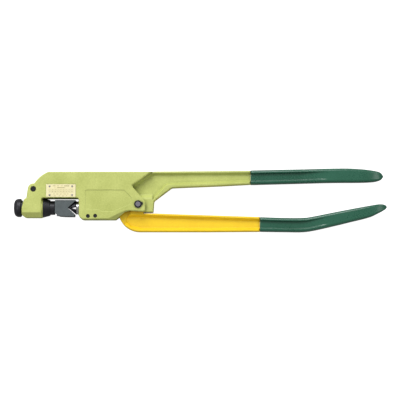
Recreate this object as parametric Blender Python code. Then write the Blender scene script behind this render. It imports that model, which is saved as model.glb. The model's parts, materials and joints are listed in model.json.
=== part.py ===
"""Long-handled cable lug crimping tool, lying flat on a bench.

Frame: X runs along the tool from the setting knob towards the handle ends, Y runs across it from
the moving handle towards the fixed handle, and Z is up, through the thickness. All named sizes are
in millimetres. Places are given from the main pivot, at mid thickness, and the whole tool is then
moved so that the origin lies under the middle of its box, on the bench.
"""

import math

import bmesh
import bpy
from mathutils import Matrix, Vector

MM = 0.001
GAP = 0.3                     # running gap between pieces that touch or slide
SLIVER = 0.002                # points closer than this are one point

# ---- overall places, from the main pivot -------------------------------------------------------
KNOB_END_X = -214.0           # crown of the setting knob
UPPER_TIP_X = 422.0           # end of the fixed handle's grip
LOWER_TIP_X = 428.0           # end of the moving handle's grip
GRIP_TOP_Y = 62.4             # highest place of the fixed handle's grip
BEAM_BOTTOM_Y = -47.2         # lower edge of the moving handle
HEAD_TOP_Y = 56.0             # top edge of the cast head
HEAD_HALF = 19.0              # half thickness of the cast head
FLANGE_HALF = 8.5             # half width of both handles' flanges
WEB_HALF = 2.6                # half thickness of both handles' webs

# ---- die axis and jaw --------------------------------------------------------------------------
DIE_AXIS_Y = -5.4             # the ram, the nest and the knob lie on this line
JAW_LEFT_X = -165.6
JAW_RIGHT_X = -101.7
JAW_ROOF_Y = 10.7
JAW_CORNER = 3.5
NOSE_BOTTOM_Y = -22.4
NOSE_FACE_X = -199.6          # outer face of the nose
NOSE_CHAMFER = 8.4            # how far the nose's lower edges are cut back
BODY_BOTTOM_Y = -26.0
NOSE_PIN = (-179.7, 26.1)
NOSE_PIN_RADIUS = 4.4
NOSE_LUG_RADIUS = 9.8
HEAD_ARC_FOOT = (-178.2, 36.0)
HEAD_ARC_TOP = (-154.1, HEAD_TOP_Y)
HEAD_ARC_RADIUS = 55.0
HEAD_EDGE = 2.2               # rounding of the casting's outer edges
FLANGE_EDGE = 1.2             # rounding of the handles' flanges
PAD_DEPTH = 0.7               # depth of the shallow panel in the front cheek

# ---- setting knob, spindle and nest ------------------------------------------------------------
KNOB_RADIUS = 15.9
KNOB_BACK_X = -200.9
SEAT_X = -198.7               # spot face that the spring washer sits on
SEAT_RADIUS = 15.4
COLLAR_POCKET = 4.2           # wall between the spot face and the adjusting screw's collar
WASHER_THICKNESS = 1.2
WASHER_RADIUS = 13.0
SCREW_RADIUS = 6.0
SCREW_COLLAR_RADIUS = 9.5
SCREW_COLLAR_LENGTH = 2.6
SCREW_IN_KNOB = 7.0
SCREW_END_X = -163.0
SPINDLE_RADIUS = 12.0
SPINDLE_LEFT_X = -185.0
SPINDLE_SHOULDER_X = -143.1
NEST_TRAVEL = 6.0             # how far the knob draws the nest back
BOSS_RISE = 1.9               # the cast boss stands this far out of the nose's inner wall
GUIDE_ROOT_RADIUS = 16.6      # black guide around the spindle, in front of the boss
GUIDE_TIP_RADIUS = 13.6
GUIDE_TIP_X = -151.5
GUIDE_NECK_RADIUS = 14.2      # the part of the guide that is pressed into the nose
GUIDE_NECK_LENGTH = 6.0
KEY_LENGTH = 8.0
KEY_WIDTH = 4.0
KEY_HEIGHT = 4.4
KEY_X = -183.0
NEST_FACE_X = -106.9
NEST_TOP_Y = 7.4
NEST_BOTTOM_Y = -20.6
NEST_HALF = 15.0
NEST_VEE_X = -120.7
TENON_RADIUS = 7.0
TENON_LENGTH = 9.5
NEST_PIN_RADIUS = 2.5

# ---- ram, indenter and bush --------------------------------------------------------------------
RAM_RADIUS = 11.9
RAM_FACE_X = -103.4
BUSH_WALL = 2.2
BUSH_LENGTH = 11.0
SHOULDER_RADIUS = RAM_RADIUS - 0.7
SHOULDER_THICKNESS = 2.6
INDENTER_RADIUS = RAM_RADIUS - 0.3   # the indenter passes through the bush behind the ram's face
INDENTER_NOTCH_X = -116.8     # foot of the narrow notch in the indenter
INDENTER_NOTCH_MOUTH = 5.6
DIE_CLEARANCE = 0.6           # between the closed indenter and the nest
INDENTER_TENON_RADIUS = 7.5
INDENTER_TENON_LENGTH = 12.0
RACK_FLAT_Y = -14.2
TOOTH_DEPTH = 1.4
TOOTH_PITCH = 3.0
TOOTH_COUNT = 4
RACK_START_X = -88.5
RAM_BLOCK_X = -78.0           # the round ram ends here and the flat-sided tail starts
TAIL_HALF = 4.0
TAIL_HEIGHT = 17.0

# ---- lever linkage -----------------------------------------------------------------------------
CRANK_RADIUS = 18.0
CRANK_ANGLE = 170.0           # degrees, with the handle closed
LINK_LENGTH = 48.0
LINK_EYE = 7.4
LINK_THICKNESS = 4.2
LINK_PIN_RADIUS = 3.5
LINK_PLAY = 1.5               # radial play at the crank pin, the pivot that is left open
SLOT_HALF = 9.0               # half width of the slot between the cheeks
EAR_HALF = 4.0
BOSS_RADIUS = 9.5
NOSE_HUB = (3.3, -9.2)         # centre of the moving handle's rounded nose
PIVOT_PIN_RADIUS = 4.4
PIVOT_HEAD_RADIUS = 7.5
PIVOT_HEAD_HEIGHT = 4.0
HANDLE_BUSH_WALL = 1.6
CHEEK_BUSH_WALL = 1.6
RING_RADIUS = 6.6
RING_THICKNESS = 1.3

# ---- pawl --------------------------------------------------------------------------------------
PAWL_PIN = (-73.3, -20.1)
SPRING_PIN = (-85.8, -20.5)
SMALL_PIN_RADIUS = 3.0
SMALL_PIN_WAIST = 1.8
PAWL_HUB = 3.6
PAWL_TIP_RISE = 5.3
PAWL_TAIL = 6.2
PAWL_HALF = 3.2
PAWL_POCKET_HALF = 5.0
SPRING_WIRE = 0.45
SPRING_TURNS = 4

# ---- name plate --------------------------------------------------------------------------------
PLATE_LEFT_X = -157.6
PLATE_RIGHT_X = -107.0
PLATE_LOW_Y = 12.2
PLATE_HIGH_Y = 34.2
PLATE_THICKNESS = 0.9
PLATE_RECESS = 0.6
PLATE_SCREW_INSET_X = 6.0
PLATE_SCREW_INSET_Y = 3.6
PLATE_SCREW_HEAD = 1.5
PLATE_SCREW_SHANK = 0.9

# ---- grips -------------------------------------------------------------------------------------
UPPER_GRIP_X = 193.4
LOWER_GRIP_X = 209.2
GRIP_HALF = 11.0
GRIP_WALL = 4.6               # vinyl above and below the bar inside it
GRIP_GROOVE_END_X = 332.0

# ---- where the origin goes ---------------------------------------------------------------------
CENTRE_X = (KNOB_END_X + LOWER_TIP_X) / 2
CENTRE_Y = (GRIP_TOP_Y + BEAM_BOTTOM_Y) / 2
BENCH_Z = -HEAD_HALF


# ---- geometry helpers --------------------------------------------------------------------------

def arc(centre, radius, start, end, steps):
    """Points on a circle from one angle to another, in degrees."""
    angles = [math.radians(start + (end - start) * step / steps) for step in range(steps + 1)]
    return [(centre[0] + radius * math.cos(a), centre[1] + radius * math.sin(a)) for a in angles]


def arc_through(first, last, radius, steps):
    """Points of the arc of a given radius that bulges to the left of the way from first to last."""
    chord = Vector(last) - Vector(first)
    middle = (Vector(first) + Vector(last)) / 2
    left = Vector((-chord.y, chord.x)).normalized()
    centre = middle - left * math.sqrt(radius ** 2 - (chord.length / 2) ** 2)
    start = math.degrees(math.atan2(first[1] - centre.y, first[0] - centre.x))
    end = math.degrees(math.atan2(last[1] - centre.y, last[0] - centre.x))
    if end > start:
        end -= 360
    return arc(centre, radius, start, end, steps)


def rounded(corners, steps=3):
    """Outline with its corners rounded; a corner is (x, y) or (x, y, radius)."""
    outline = []
    count = len(corners)
    for index, corner in enumerate(corners):
        here = Vector(corner[:2])
        radius = corner[2] if len(corner) > 2 else 0
        if not radius:
            outline.append(tuple(here))
            continue
        before = (Vector(corners[index - 1][:2]) - here)
        after = (Vector(corners[(index + 1) % count][:2]) - here)
        half = before.angle(after) / 2
        reach = min(radius / math.tan(half), before.length * 0.49, after.length * 0.49)
        fitted = reach * math.tan(half)
        start = here + before.normalized() * reach
        end = here + after.normalized() * reach
        centre = here + (before.normalized() + after.normalized()).normalized() * (fitted / math.sin(half))
        a0 = math.atan2(start.y - centre.y, start.x - centre.x)
        a1 = math.atan2(end.y - centre.y, end.x - centre.x)
        turn = (a1 - a0 + math.pi) % (2 * math.pi) - math.pi
        for step in range(steps + 1):
            angle = a0 + turn * step / steps
            outline.append((centre.x + fitted * math.cos(angle), centre.y + fitted * math.sin(angle)))
    return outline


def prism(outline, low, high):
    """Solid of an outline in X and Y, from one height to another."""
    solid = bmesh.new()
    bottom = [solid.verts.new((x, y, low)) for x, y in outline]
    top = [solid.verts.new((x, y, high)) for x, y in outline]
    solid.faces.new(bottom)
    solid.faces.new(top)
    for index in range(len(outline)):
        after = (index + 1) % len(outline)
        solid.faces.new((bottom[index], bottom[after], top[after], top[index]))
    bmesh.ops.recalc_face_normals(solid, faces=solid.faces)
    return solid


def soften_rims(solid, width, segments=2):
    """Bevel the edges around the flat top and bottom of a prism."""
    rims = [edge for edge in solid.edges
            if abs(edge.verts[0].co.z - edge.verts[1].co.z) < 1e-6
            and any(abs(face.normal.z) < 0.5 for face in edge.link_faces)
            and any(abs(face.normal.z) > 0.5 for face in edge.link_faces)]
    bmesh.ops.bevel(solid, geom=rims, offset=width, segments=segments, profile=0.5,
                    affect="EDGES", clamp_overlap=True)
    return solid


def turned(profile, axis_y=DIE_AXIS_Y, sides=32):
    """Solid turned about a line along X; the profile is (x, radius) from one end to the other."""
    solid = bmesh.new()
    rings = []
    for x, radius in profile:
        if radius <= 0:
            rings.append([solid.verts.new((x, axis_y, 0))])
            continue
        ring = []
        for side in range(sides):
            angle = 2 * math.pi * side / sides
            ring.append(solid.verts.new((x, axis_y + radius * math.cos(angle), radius * math.sin(angle))))
        rings.append(ring)
    for ring, following in zip(rings, rings[1:]):
        for side in range(sides):
            after = (side + 1) % sides
            corners = [ring[side % len(ring)], ring[after % len(ring)],
                       following[after % len(following)], following[side % len(following)]]
            solid.faces.new(list(dict.fromkeys(corners)))
    for ring in (rings[0], rings[-1]):
        if len(ring) > 1:
            solid.faces.new(ring)
    bmesh.ops.recalc_face_normals(solid, faces=solid.faces)
    return solid


def ring_x(start, end, outer, inner, sides=32):
    """Plain ring about the die axis."""
    solid = bmesh.new()
    loops = []
    for x, radius in ((start, outer), (end, outer), (end, inner), (start, inner)):
        loops.append([solid.verts.new((x, DIE_AXIS_Y + radius * math.cos(2 * math.pi * side / sides),
                                       radius * math.sin(2 * math.pi * side / sides)))
                      for side in range(sides)])
    for index, loop in enumerate(loops):
        following = loops[(index + 1) % 4]
        for side in range(sides):
            after = (side + 1) % sides
            solid.faces.new((loop[side], loop[after], following[after], following[side]))
    bmesh.ops.recalc_face_normals(solid, faces=solid.faces)
    return solid


def pin_z(centre, stages, sides=20):
    """Round pin along Z; stages are (z, radius) from bottom to top."""
    solid = turned([(z, radius) for z, radius in stages], axis_y=0, sides=sides)
    stand = Matrix.Translation((centre[0], centre[1], 0)) @ Matrix.Rotation(math.radians(-90), 4, "Y")
    bmesh.ops.transform(solid, matrix=stand, verts=solid.verts)
    return solid


def ring_z(centre, outer, inner, low, high, sides=24):
    """Plain ring about a line along Z."""
    solid = bmesh.new()
    loops = []
    for z, radius in ((low, outer), (high, outer), (high, inner), (low, inner)):
        loops.append([solid.verts.new((centre[0] + radius * math.cos(2 * math.pi * side / sides),
                                       centre[1] + radius * math.sin(2 * math.pi * side / sides), z))
                      for side in range(sides)])
    for index, loop in enumerate(loops):
        following = loops[(index + 1) % 4]
        for side in range(sides):
            after = (side + 1) % sides
            solid.faces.new((loop[side], loop[after], following[after], following[side]))
    bmesh.ops.recalc_face_normals(solid, faces=solid.faces)
    return solid


def loft(sections):
    """Closed solid through rings of points with flat ends."""
    solid = bmesh.new()
    rings = [[solid.verts.new(point) for point in section] for section in sections]
    for ring, following in zip(rings, rings[1:]):
        for index in range(len(ring)):
            after = (index + 1) % len(ring)
            solid.faces.new((ring[index], ring[after], following[after], following[index]))
    solid.faces.new(rings[0])
    solid.faces.new(rings[-1])
    bmesh.ops.recalc_face_normals(solid, faces=solid.faces)
    return solid


def curve_value(knots, x):
    """Height of a smooth curve through knots (x, y), by cubic steps with matching slopes."""
    if x <= knots[0][0]:
        return knots[0][1]
    if x >= knots[-1][0]:
        return knots[-1][1]
    slopes = []
    for index in range(len(knots)):
        low = knots[max(index - 1, 0)]
        high = knots[min(index + 1, len(knots) - 1)]
        slopes.append((high[1] - low[1]) / (high[0] - low[0]))
    index = max(i for i in range(len(knots) - 1) if knots[i][0] <= x)
    (x0, y0), (x1, y1) = knots[index], knots[index + 1]
    width = x1 - x0
    t = (x - x0) / width
    return ((2 * t ** 3 - 3 * t ** 2 + 1) * y0 + (t ** 3 - 2 * t ** 2 + t) * width * slopes[index]
            + (3 * t ** 2 - 2 * t ** 3) * y1 + (t ** 3 - t ** 2) * width * slopes[index + 1])


# ---- scene helpers -----------------------------------------------------------------------------

def clear_scene():
    """Start from an empty scene."""
    for item in list(bpy.data.objects):
        bpy.data.objects.remove(item, do_unlink=True)


def finish(name, colour, roughness, metallic):
    """Material of one part."""
    material = bpy.data.materials.new(name)
    material.use_nodes = True
    shader = material.node_tree.nodes["Principled BSDF"]
    shader.inputs["Base Color"].default_value = (*colour, 1)
    shader.inputs["Roughness"].default_value = roughness
    shader.inputs["Metallic"].default_value = metallic
    return material


def solid_object(name, solid):
    """Plain object that holds a solid, in millimetres."""
    mesh = bpy.data.meshes.new(name)
    solid.to_mesh(mesh)
    solid.free()
    item = bpy.data.objects.new(name, mesh)
    bpy.context.collection.objects.link(item)
    return item


def tidy_mesh(mesh, distance):
    """Weld points closer than a distance and drop the slivers between them."""
    solid = bmesh.new()
    solid.from_mesh(mesh)
    bmesh.ops.remove_doubles(solid, verts=solid.verts, dist=distance)
    bmesh.ops.dissolve_degenerate(solid, dist=distance, edges=solid.edges)
    bmesh.ops.recalc_face_normals(solid, faces=solid.faces)
    solid.to_mesh(mesh)
    solid.free()


def combine(item, operation, others):
    """Add solids to an object, or cut them from it."""
    for index, other in enumerate(others):
        tool = solid_object(f"{item.name}_{operation.lower()}_{index}", other)
        modifier = item.modifiers.new("shape", "BOOLEAN")
        modifier.operation = operation
        modifier.object = tool
        modifier.solver = "EXACT"
        bpy.context.view_layer.update()
        shaped = bpy.data.meshes.new_from_object(item.evaluated_get(bpy.context.evaluated_depsgraph_get()))
        item.modifiers.clear()
        tidy_mesh(shaped, SLIVER)
        old = item.data
        item.data = shaped
        bpy.data.meshes.remove(old)
        bpy.data.objects.remove(tool, do_unlink=True)
    return item


def cut(item, *others):
    """Cut solids from an object."""
    return combine(item, "DIFFERENCE", others)


def add(item, *others):
    """Join solids to an object."""
    return combine(item, "UNION", others)


class Frame:
    """An empty that moving pieces hang on, at a place in millimetres from the main pivot."""

    def __init__(self, name, place, parent=None):
        self.place = Vector(place)
        self.empty = bpy.data.objects.new(name, None)
        self.empty.empty_display_size = 0.01
        bpy.context.collection.objects.link(self.empty)
        start = parent.place if parent else Vector((0, 0, 0))
        self.empty.location = (self.place - start) * MM
        if parent:
            self.empty.parent = parent.empty


def place_piece(item, frame, material):
    """Hang a finished solid on its frame, in metres, shaded smooth up to its sharp edges."""
    item.data.transform(Matrix.Scale(MM, 4) @ Matrix.Translation(-frame.place))
    tidy_mesh(item.data, SLIVER * MM)
    item.data.shade_smooth()
    item.data.set_sharp_from_angle(angle=math.radians(35))
    item.data.materials.clear()
    item.data.materials.append(material)
    item.parent = frame.empty
    return item


# ---- shared shapes -----------------------------------------------------------------------------

def upper_grip_edges(x):
    """Top and bottom of the fixed handle's grip at a station along X."""
    top = ((UPPER_GRIP_X, 59.0), (280, 60.8), (355, GRIP_TOP_Y), (385, 61.0), (405, 58.0),
           (416, 54.6), (UPPER_TIP_X, 50.0))
    bottom = ((UPPER_GRIP_X, 34.4), (262, 36.2), (331, 38.0), (383, 38.4), (405, 39.6),
              (416, 42.6), (UPPER_TIP_X, 47.0))
    return curve_value(top, x), curve_value(bottom, x)


def lower_grip_edges(x):
    """Top and bottom of the moving handle's grip at a station along X."""
    top = ((LOWER_GRIP_X, -21.6), (250, -22.9), (286, -22.8), (302, -20.4), (331, -14.6),
           (365, -8.0), (400, -1.6), (414, 0.6), (422, 0.0), (LOWER_TIP_X, -3.4))
    bottom = ((LOWER_GRIP_X, -46.4), (250, -47.0), (284, -47.1), (302, -44.6), (331, -38.2),
              (365, -30.0), (400, -21.0), (414, -14.2), (422, -9.4), (LOWER_TIP_X, -6.0))
    return curve_value(top, x), curve_value(bottom, x)


def grip_section(x, top, bottom, half, groove):
    """Ring of points around a dipped grip; the groove is how deep the web recess shows."""
    middle = (top + bottom) / 2
    rise = (top - bottom) / 2
    corner = min(4.4, rise * 0.36, half * 0.7)
    lip = (rise - corner) * 0.96
    floor = lip * 0.72
    quarter = arc((half - corner, rise - corner), corner, 90, 0, 4)
    side = quarter + [(half, lip), (half - groove, floor), (half - groove, -floor), (half, -lip)]
    mirrored = [(z, -y) for z, y in reversed(quarter)]
    right = side + mirrored
    left = [(-z, y) for z, y in reversed(right)]
    return [(x, middle + y, z) for z, y in right + left]


def tang_section(x, top, bottom, half, wall):
    """Rectangle of the bar inside a grip."""
    return [(x, top - wall, half), (x, bottom + wall, half),
            (x, bottom + wall, -half), (x, top - wall, -half)]


def stations(start, end, count):
    """Even stations from start to end."""
    return [start + (end - start) * index / (count - 1) for index in range(count)]


def tip_stations(start, end, count):
    """Stations that crowd together towards the end, for a rounded tip."""
    return [end - (end - start) * (1 - index / (count - 1)) ** 2 for index in range(count)]


def grip_solid(edges, start, tip):
    """Outer shape of a dipped grip."""
    straight = stations(start, GRIP_GROOVE_END_X, 9)
    rounding_start = tip - 46.0
    middle = stations(GRIP_GROOVE_END_X, rounding_start, 4)[1:]
    ending = tip_stations(rounding_start, tip, 7)[1:]
    sections = []
    for x in straight + middle + ending:
        top, bottom = edges(x)
        taper = max(0.0, min(1.0, (GRIP_GROOVE_END_X - x) / 60.0))
        closing = max(0.0, (x - rounding_start) / (tip - rounding_start))
        half = GRIP_HALF * math.sqrt(max(0.06, 1 - closing ** 3.2))
        sections.append(grip_section(x, top, bottom, half, 0.05 + 5.0 * taper))
    return loft(sections)


def tang_solid(edges, start, end, half, wall):
    """Bar that runs on inside a grip."""
    sections = []
    for x in stations(start, end, 9):
        top, bottom = edges(x)
        sections.append(tang_section(x, top, bottom, half, wall))
    return loft(sections)


def crank_pin_place():
    """Centre of the crank pin with the handle closed."""
    angle = math.radians(CRANK_ANGLE)
    return CRANK_RADIUS * math.cos(angle), CRANK_RADIUS * math.sin(angle)


def ram_pin_place():
    """Centre of the ram pin with the handle closed."""
    x, y = crank_pin_place()
    drop = y - DIE_AXIS_Y
    return x - math.sqrt(LINK_LENGTH ** 2 - drop ** 2), DIE_AXIS_Y


# ---- cast head and fixed handle ----------------------------------------------------------------

def head_outline():
    """Outline of the thick head, clockwise from the nose's lower corner."""
    lug = arc(NOSE_PIN, NOSE_LUG_RADIUS, 165, 82, 6)
    crown = arc_through(HEAD_ARC_FOOT, HEAD_ARC_TOP, HEAD_ARC_RADIUS, 8)
    right = rounded([(24.0, HEAD_TOP_Y), (-10.4, 31.2, 2), (12.4, 4.0, 7), (12.4, -12.9, 3.5),
                     (-13.9, -11.2, 6), (-22.5, -13.0, 5), (-38.5, BODY_BOTTOM_Y, 5),
                     (JAW_RIGHT_X, BODY_BOTTOM_Y, 9), (JAW_RIGHT_X, JAW_ROOF_Y, JAW_CORNER),
                     (JAW_LEFT_X, JAW_ROOF_Y, JAW_CORNER), (JAW_LEFT_X, NOSE_BOTTOM_Y, 1.5),
                     (NOSE_FACE_X, NOSE_BOTTOM_Y, 9), (NOSE_FACE_X, -6.0, 8), (-195.4, 10.0, 6)])
    return right[1:] + lug + crown + [right[0]]


def arm_outline():
    """Outline of the fixed handle with its leg behind the pivot."""
    return rounded([(-30.0, HEAD_TOP_Y - 1.0), (20.0, HEAD_TOP_Y), (28.0, HEAD_TOP_Y + 1.2, 6),
                    (UPPER_GRIP_X, 58.6), (UPPER_GRIP_X, 34.6), (141.0, 31.8), (58.0, 28.4, 8),
                    (27.6, 5.4, 5), (26.2, -13.8, 1.5), (10.0, -13.8), (0.0, 4.0), (-30.0, 40.0)])


def arm_recess():
    """Hollow of the fixed handle's I section, on one side of the web."""
    return rounded([(25.4, 52.8, 4), (-9.2, 30.8, 2), (5.0, 14.2), (24.8, 14.2, 3), (50.0, 35.0, 8),
                    (141.0, 37.6), (UPPER_GRIP_X + 5, 40.2), (UPPER_GRIP_X + 5, 53.4)])


def slot_outline():
    """Slot between the cheeks, open at the bottom, for the ear, the links and the ram's tail."""
    left = ram_pin_place()[0] - LINK_EYE - 1.3
    return rounded([(left, -60.0), (left, 10.0, 4), (left + 20.0, 31.0, 4), (-13.6, 31.0, 4), (9.9, 3.2, 3),
                    (9.9, -60.0)])


def shallow_pad():
    """Shallow panel cast into the cheek's face."""
    return rounded([(-90.4, 24.3, 3), (-90.6, -8.6, 2), (-66.7, -8.6, 2), (-62.3, -12.2, 2),
                    (-42.5, -12.2, 4), (-14.0, -0.4, 3), (-10.0, 9.6, 3), (-23.9, 24.3, 3)])


def nose_chamfer(side):
    """Wedge that slopes the nose's lower edge on one side."""
    face = HEAD_HALF * side
    deep = (HEAD_HALF - NOSE_CHAMFER * 0.8) * side
    beyond = (HEAD_HALF + 5) * side
    sections = []
    for x in (NOSE_FACE_X - 5, JAW_LEFT_X + 5):
        sections.append([(x, NOSE_BOTTOM_Y + NOSE_CHAMFER, face), (x, NOSE_BOTTOM_Y - 0.6, deep),
                         (x, NOSE_BOTTOM_Y - 8, deep), (x, NOSE_BOTTOM_Y - 8, beyond),
                         (x, NOSE_BOTTOM_Y + NOSE_CHAMFER, beyond)])
    return loft(sections)


def make_head_frame(frame, material):
    """Cast head with the jaw, the two cheeks and the fixed handle in one piece."""
    head = solid_object("head_frame", soften_rims(prism(head_outline(), -HEAD_HALF, HEAD_HALF), HEAD_EDGE))
    cut(head, nose_chamfer(1), nose_chamfer(-1))
    arm = soften_rims(prism(arm_outline(), -FLANGE_HALF, FLANGE_HALF), FLANGE_EDGE, 1)
    arm_item = solid_object("arm", arm)
    for side in (1, -1):
        low, high = sorted((WEB_HALF * side, 30.0 * side))
        cut(arm_item, prism(arm_recess(), low, high))
    arm_solid = bmesh.new()
    arm_solid.from_mesh(arm_item.data)
    bpy.data.objects.remove(arm_item, do_unlink=True)
    add(head, arm_solid)
    add(head, tang_solid(upper_grip_edges, UPPER_GRIP_X - 6, UPPER_TIP_X - 34, WEB_HALF, GRIP_WALL))
    boss_radius = GUIDE_ROOT_RADIUS + 1.0
    add(head, turned([(JAW_LEFT_X - 4, boss_radius), (JAW_LEFT_X, boss_radius),
                      (JAW_LEFT_X + BOSS_RISE, GUIDE_ROOT_RADIUS)]))
    cut(head, *head_openings())
    return place_piece(head, frame, material)


def through_bore(centre, radius):
    """Cutter for a bore right through the head."""
    return pin_z(centre, [(-HEAD_HALF - 5, radius), (HEAD_HALF + 5, radius)])


def head_openings():
    """Every bore, slot and recess of the cast head."""
    bore = SPINDLE_RADIUS + GAP
    collar_x = SEAT_X + COLLAR_POCKET
    bush_end = JAW_RIGHT_X + BUSH_LENGTH + 0.8
    bush_bore = RAM_RADIUS + BUSH_WALL + 2 * GAP
    key_end = KEY_X + KEY_LENGTH + 2 * GAP
    pocket_x = SPRING_PIN[0] - SMALL_PIN_RADIUS - 0.4
    openings = [
        turned([(collar_x, bore), (JAW_LEFT_X + 5, bore)]),
        turned([(guide_neck_x() - GAP, GUIDE_NECK_RADIUS + GAP),
                (JAW_LEFT_X + 5, GUIDE_NECK_RADIUS + GAP)]),
        turned([(NOSE_FACE_X - 10, SCREW_RADIUS + GAP), (collar_x + 1, SCREW_RADIUS + GAP)]),
        turned([(NOSE_FACE_X - 10, SEAT_RADIUS + 1), (SEAT_X, SEAT_RADIUS + 1)]),
        prism([(KEY_X, DIE_AXIS_Y), (key_end, DIE_AXIS_Y),
               (key_end, key_top() + GAP), (KEY_X, key_top() + GAP)],
              -KEY_WIDTH / 2 - GAP, KEY_WIDTH / 2 + GAP),
        turned([(JAW_RIGHT_X - 5, bush_bore), (bush_end, bush_bore)]),
        turned([(bush_end - 1, RAM_RADIUS + GAP), (ram_pin_place()[0] + 2.0, RAM_RADIUS + GAP)]),
        prism(slot_outline(), -SLOT_HALF, SLOT_HALF),
        prism([(pocket_x, -60), (PAWL_PIN[0] + 9.3, -60), (PAWL_PIN[0] + 9.3, RACK_FLAT_Y + 1),
               (pocket_x, RACK_FLAT_Y + 1)], -PAWL_POCKET_HALF, PAWL_POCKET_HALF),
        through_bore(NOSE_PIN, NOSE_PIN_RADIUS + GAP),
        through_bore(PAWL_PIN, SMALL_PIN_RADIUS + GAP),
        through_bore(SPRING_PIN, SMALL_PIN_RADIUS + GAP),
        pin_z((0, 0), [(-HEAD_HALF - 5, PIVOT_HEAD_RADIUS + GAP),
                       (-HEAD_HALF + PIVOT_HEAD_HEIGHT + GAP, PIVOT_HEAD_RADIUS + GAP)]),
        through_bore((0, 0), cheek_bush_radius() + GAP),
        prism(plate_outline(GAP), HEAD_HALF - PLATE_RECESS, HEAD_HALF + 5),
        prism(shallow_pad(), HEAD_HALF - PAD_DEPTH, HEAD_HALF + 5),
    ]
    for place in plate_screw_places():
        openings.append(pin_z(place, [(HEAD_HALF - 6, PLATE_SCREW_SHANK + GAP),
                                      (HEAD_HALF + 5, PLATE_SCREW_SHANK + GAP)], 12))
    return openings


def guide_neck_x():
    """Inner end of the spindle guide's neck in the nose."""
    return JAW_LEFT_X + BOSS_RISE - GUIDE_NECK_LENGTH


def key_top():
    """Upper face of the nest's guide key."""
    return DIE_AXIS_Y + SPINDLE_RADIUS + KEY_HEIGHT / 2


def cheek_bush_radius():
    """Outer radius of the bushes in the cheeks."""
    return PIVOT_PIN_RADIUS + GAP + CHEEK_BUSH_WALL


def plate_outline(grow=0.0):
    """Name plate's outline."""
    return [(PLATE_LEFT_X - grow, PLATE_LOW_Y - grow), (PLATE_RIGHT_X + grow, PLATE_LOW_Y - grow),
            (PLATE_RIGHT_X + grow, PLATE_HIGH_Y + grow), (PLATE_LEFT_X - grow, PLATE_HIGH_Y + grow)]


def plate_screw_places():
    """Centres of the plate's four drive screws."""
    return [(x, y) for x in (PLATE_LEFT_X + PLATE_SCREW_INSET_X, PLATE_RIGHT_X - PLATE_SCREW_INSET_X)
            for y in (PLATE_LOW_Y + PLATE_SCREW_INSET_Y, PLATE_HIGH_Y - PLATE_SCREW_INSET_Y)]


def make_grip(name, edges, start, tip, frame, material):
    """Dipped grip around the bar of a handle."""
    grip = solid_object(name, grip_solid(edges, start + GAP, tip))
    cut(grip, tang_solid(edges, start - 4, tip - 34 + GAP, WEB_HALF + GAP, GRIP_WALL - GAP))
    return place_piece(grip, frame, material)


def make_name_plate(frame, material):
    """Name plate in its recess."""
    low = HEAD_HALF - PLATE_RECESS + GAP
    plate = solid_object("name_plate", prism(plate_outline(), low, low + PLATE_THICKNESS))
    cut(plate, *[pin_z(place, [(low - 2, PLATE_SCREW_SHANK + GAP), (low + 4, PLATE_SCREW_SHANK + GAP)], 12)
                 for place in plate_screw_places()])
    return place_piece(plate, frame, material)


def make_plate_screws(frame, material):
    """Four drive screws that hold the name plate."""
    face = HEAD_HALF - PLATE_RECESS + GAP + PLATE_THICKNESS + GAP
    for number, place in enumerate(plate_screw_places(), 1):
        screw = pin_z(place, [(HEAD_HALF - 5, PLATE_SCREW_SHANK), (face, PLATE_SCREW_SHANK),
                              (face, PLATE_SCREW_HEAD), (face + 0.5, PLATE_SCREW_HEAD),
                              (face + 0.9, PLATE_SCREW_HEAD * 0.5)], 12)
        place_piece(solid_object(f"plate_screw_{number}", screw), frame, material)


# ---- nose: knob, screw, spindle, nest ----------------------------------------------------------

def make_knob(frame, material):
    """Domed setting knob with a socket for the adjusting screw."""
    dome = [(KNOB_BACK_X, KNOB_RADIUS - 1.4), (KNOB_BACK_X - 1.2, KNOB_RADIUS)]
    dome_depth = 9.4
    dome_start = KNOB_END_X + dome_depth
    for step in range(7):
        angle = math.radians(80 * step / 6)
        x = dome_start - dome_depth * math.sin(angle) / math.sin(math.radians(80))
        dome.append((x, KNOB_RADIUS * math.cos(angle) ** 0.62))
    knob = solid_object("setting_knob", turned(dome, sides=36))
    cut(knob,
        turned([(KNOB_BACK_X - SCREW_IN_KNOB - GAP, SCREW_RADIUS + GAP),
                (KNOB_BACK_X + 3, SCREW_RADIUS + GAP)]),
        knob_screw_solid(GAP))
    return place_piece(knob, frame, material)


def knob_screw_solid(grow=0.0):
    """Set screw across the knob, from below."""
    outer = DIE_AXIS_Y - KNOB_RADIUS + 1.2 - grow * 8
    inner = DIE_AXIS_Y - SCREW_RADIUS - 2 * GAP + grow * 1.6
    screw = turned([(outer, 1.8 + grow), (inner, 1.8 + grow)], axis_y=0, sides=16)
    turn = Matrix.Translation((KNOB_BACK_X - 3.6, 0, 0)) @ Matrix.Rotation(math.radians(90), 4, "Z")
    bmesh.ops.transform(screw, matrix=turn, verts=screw.verts)
    return screw


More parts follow.
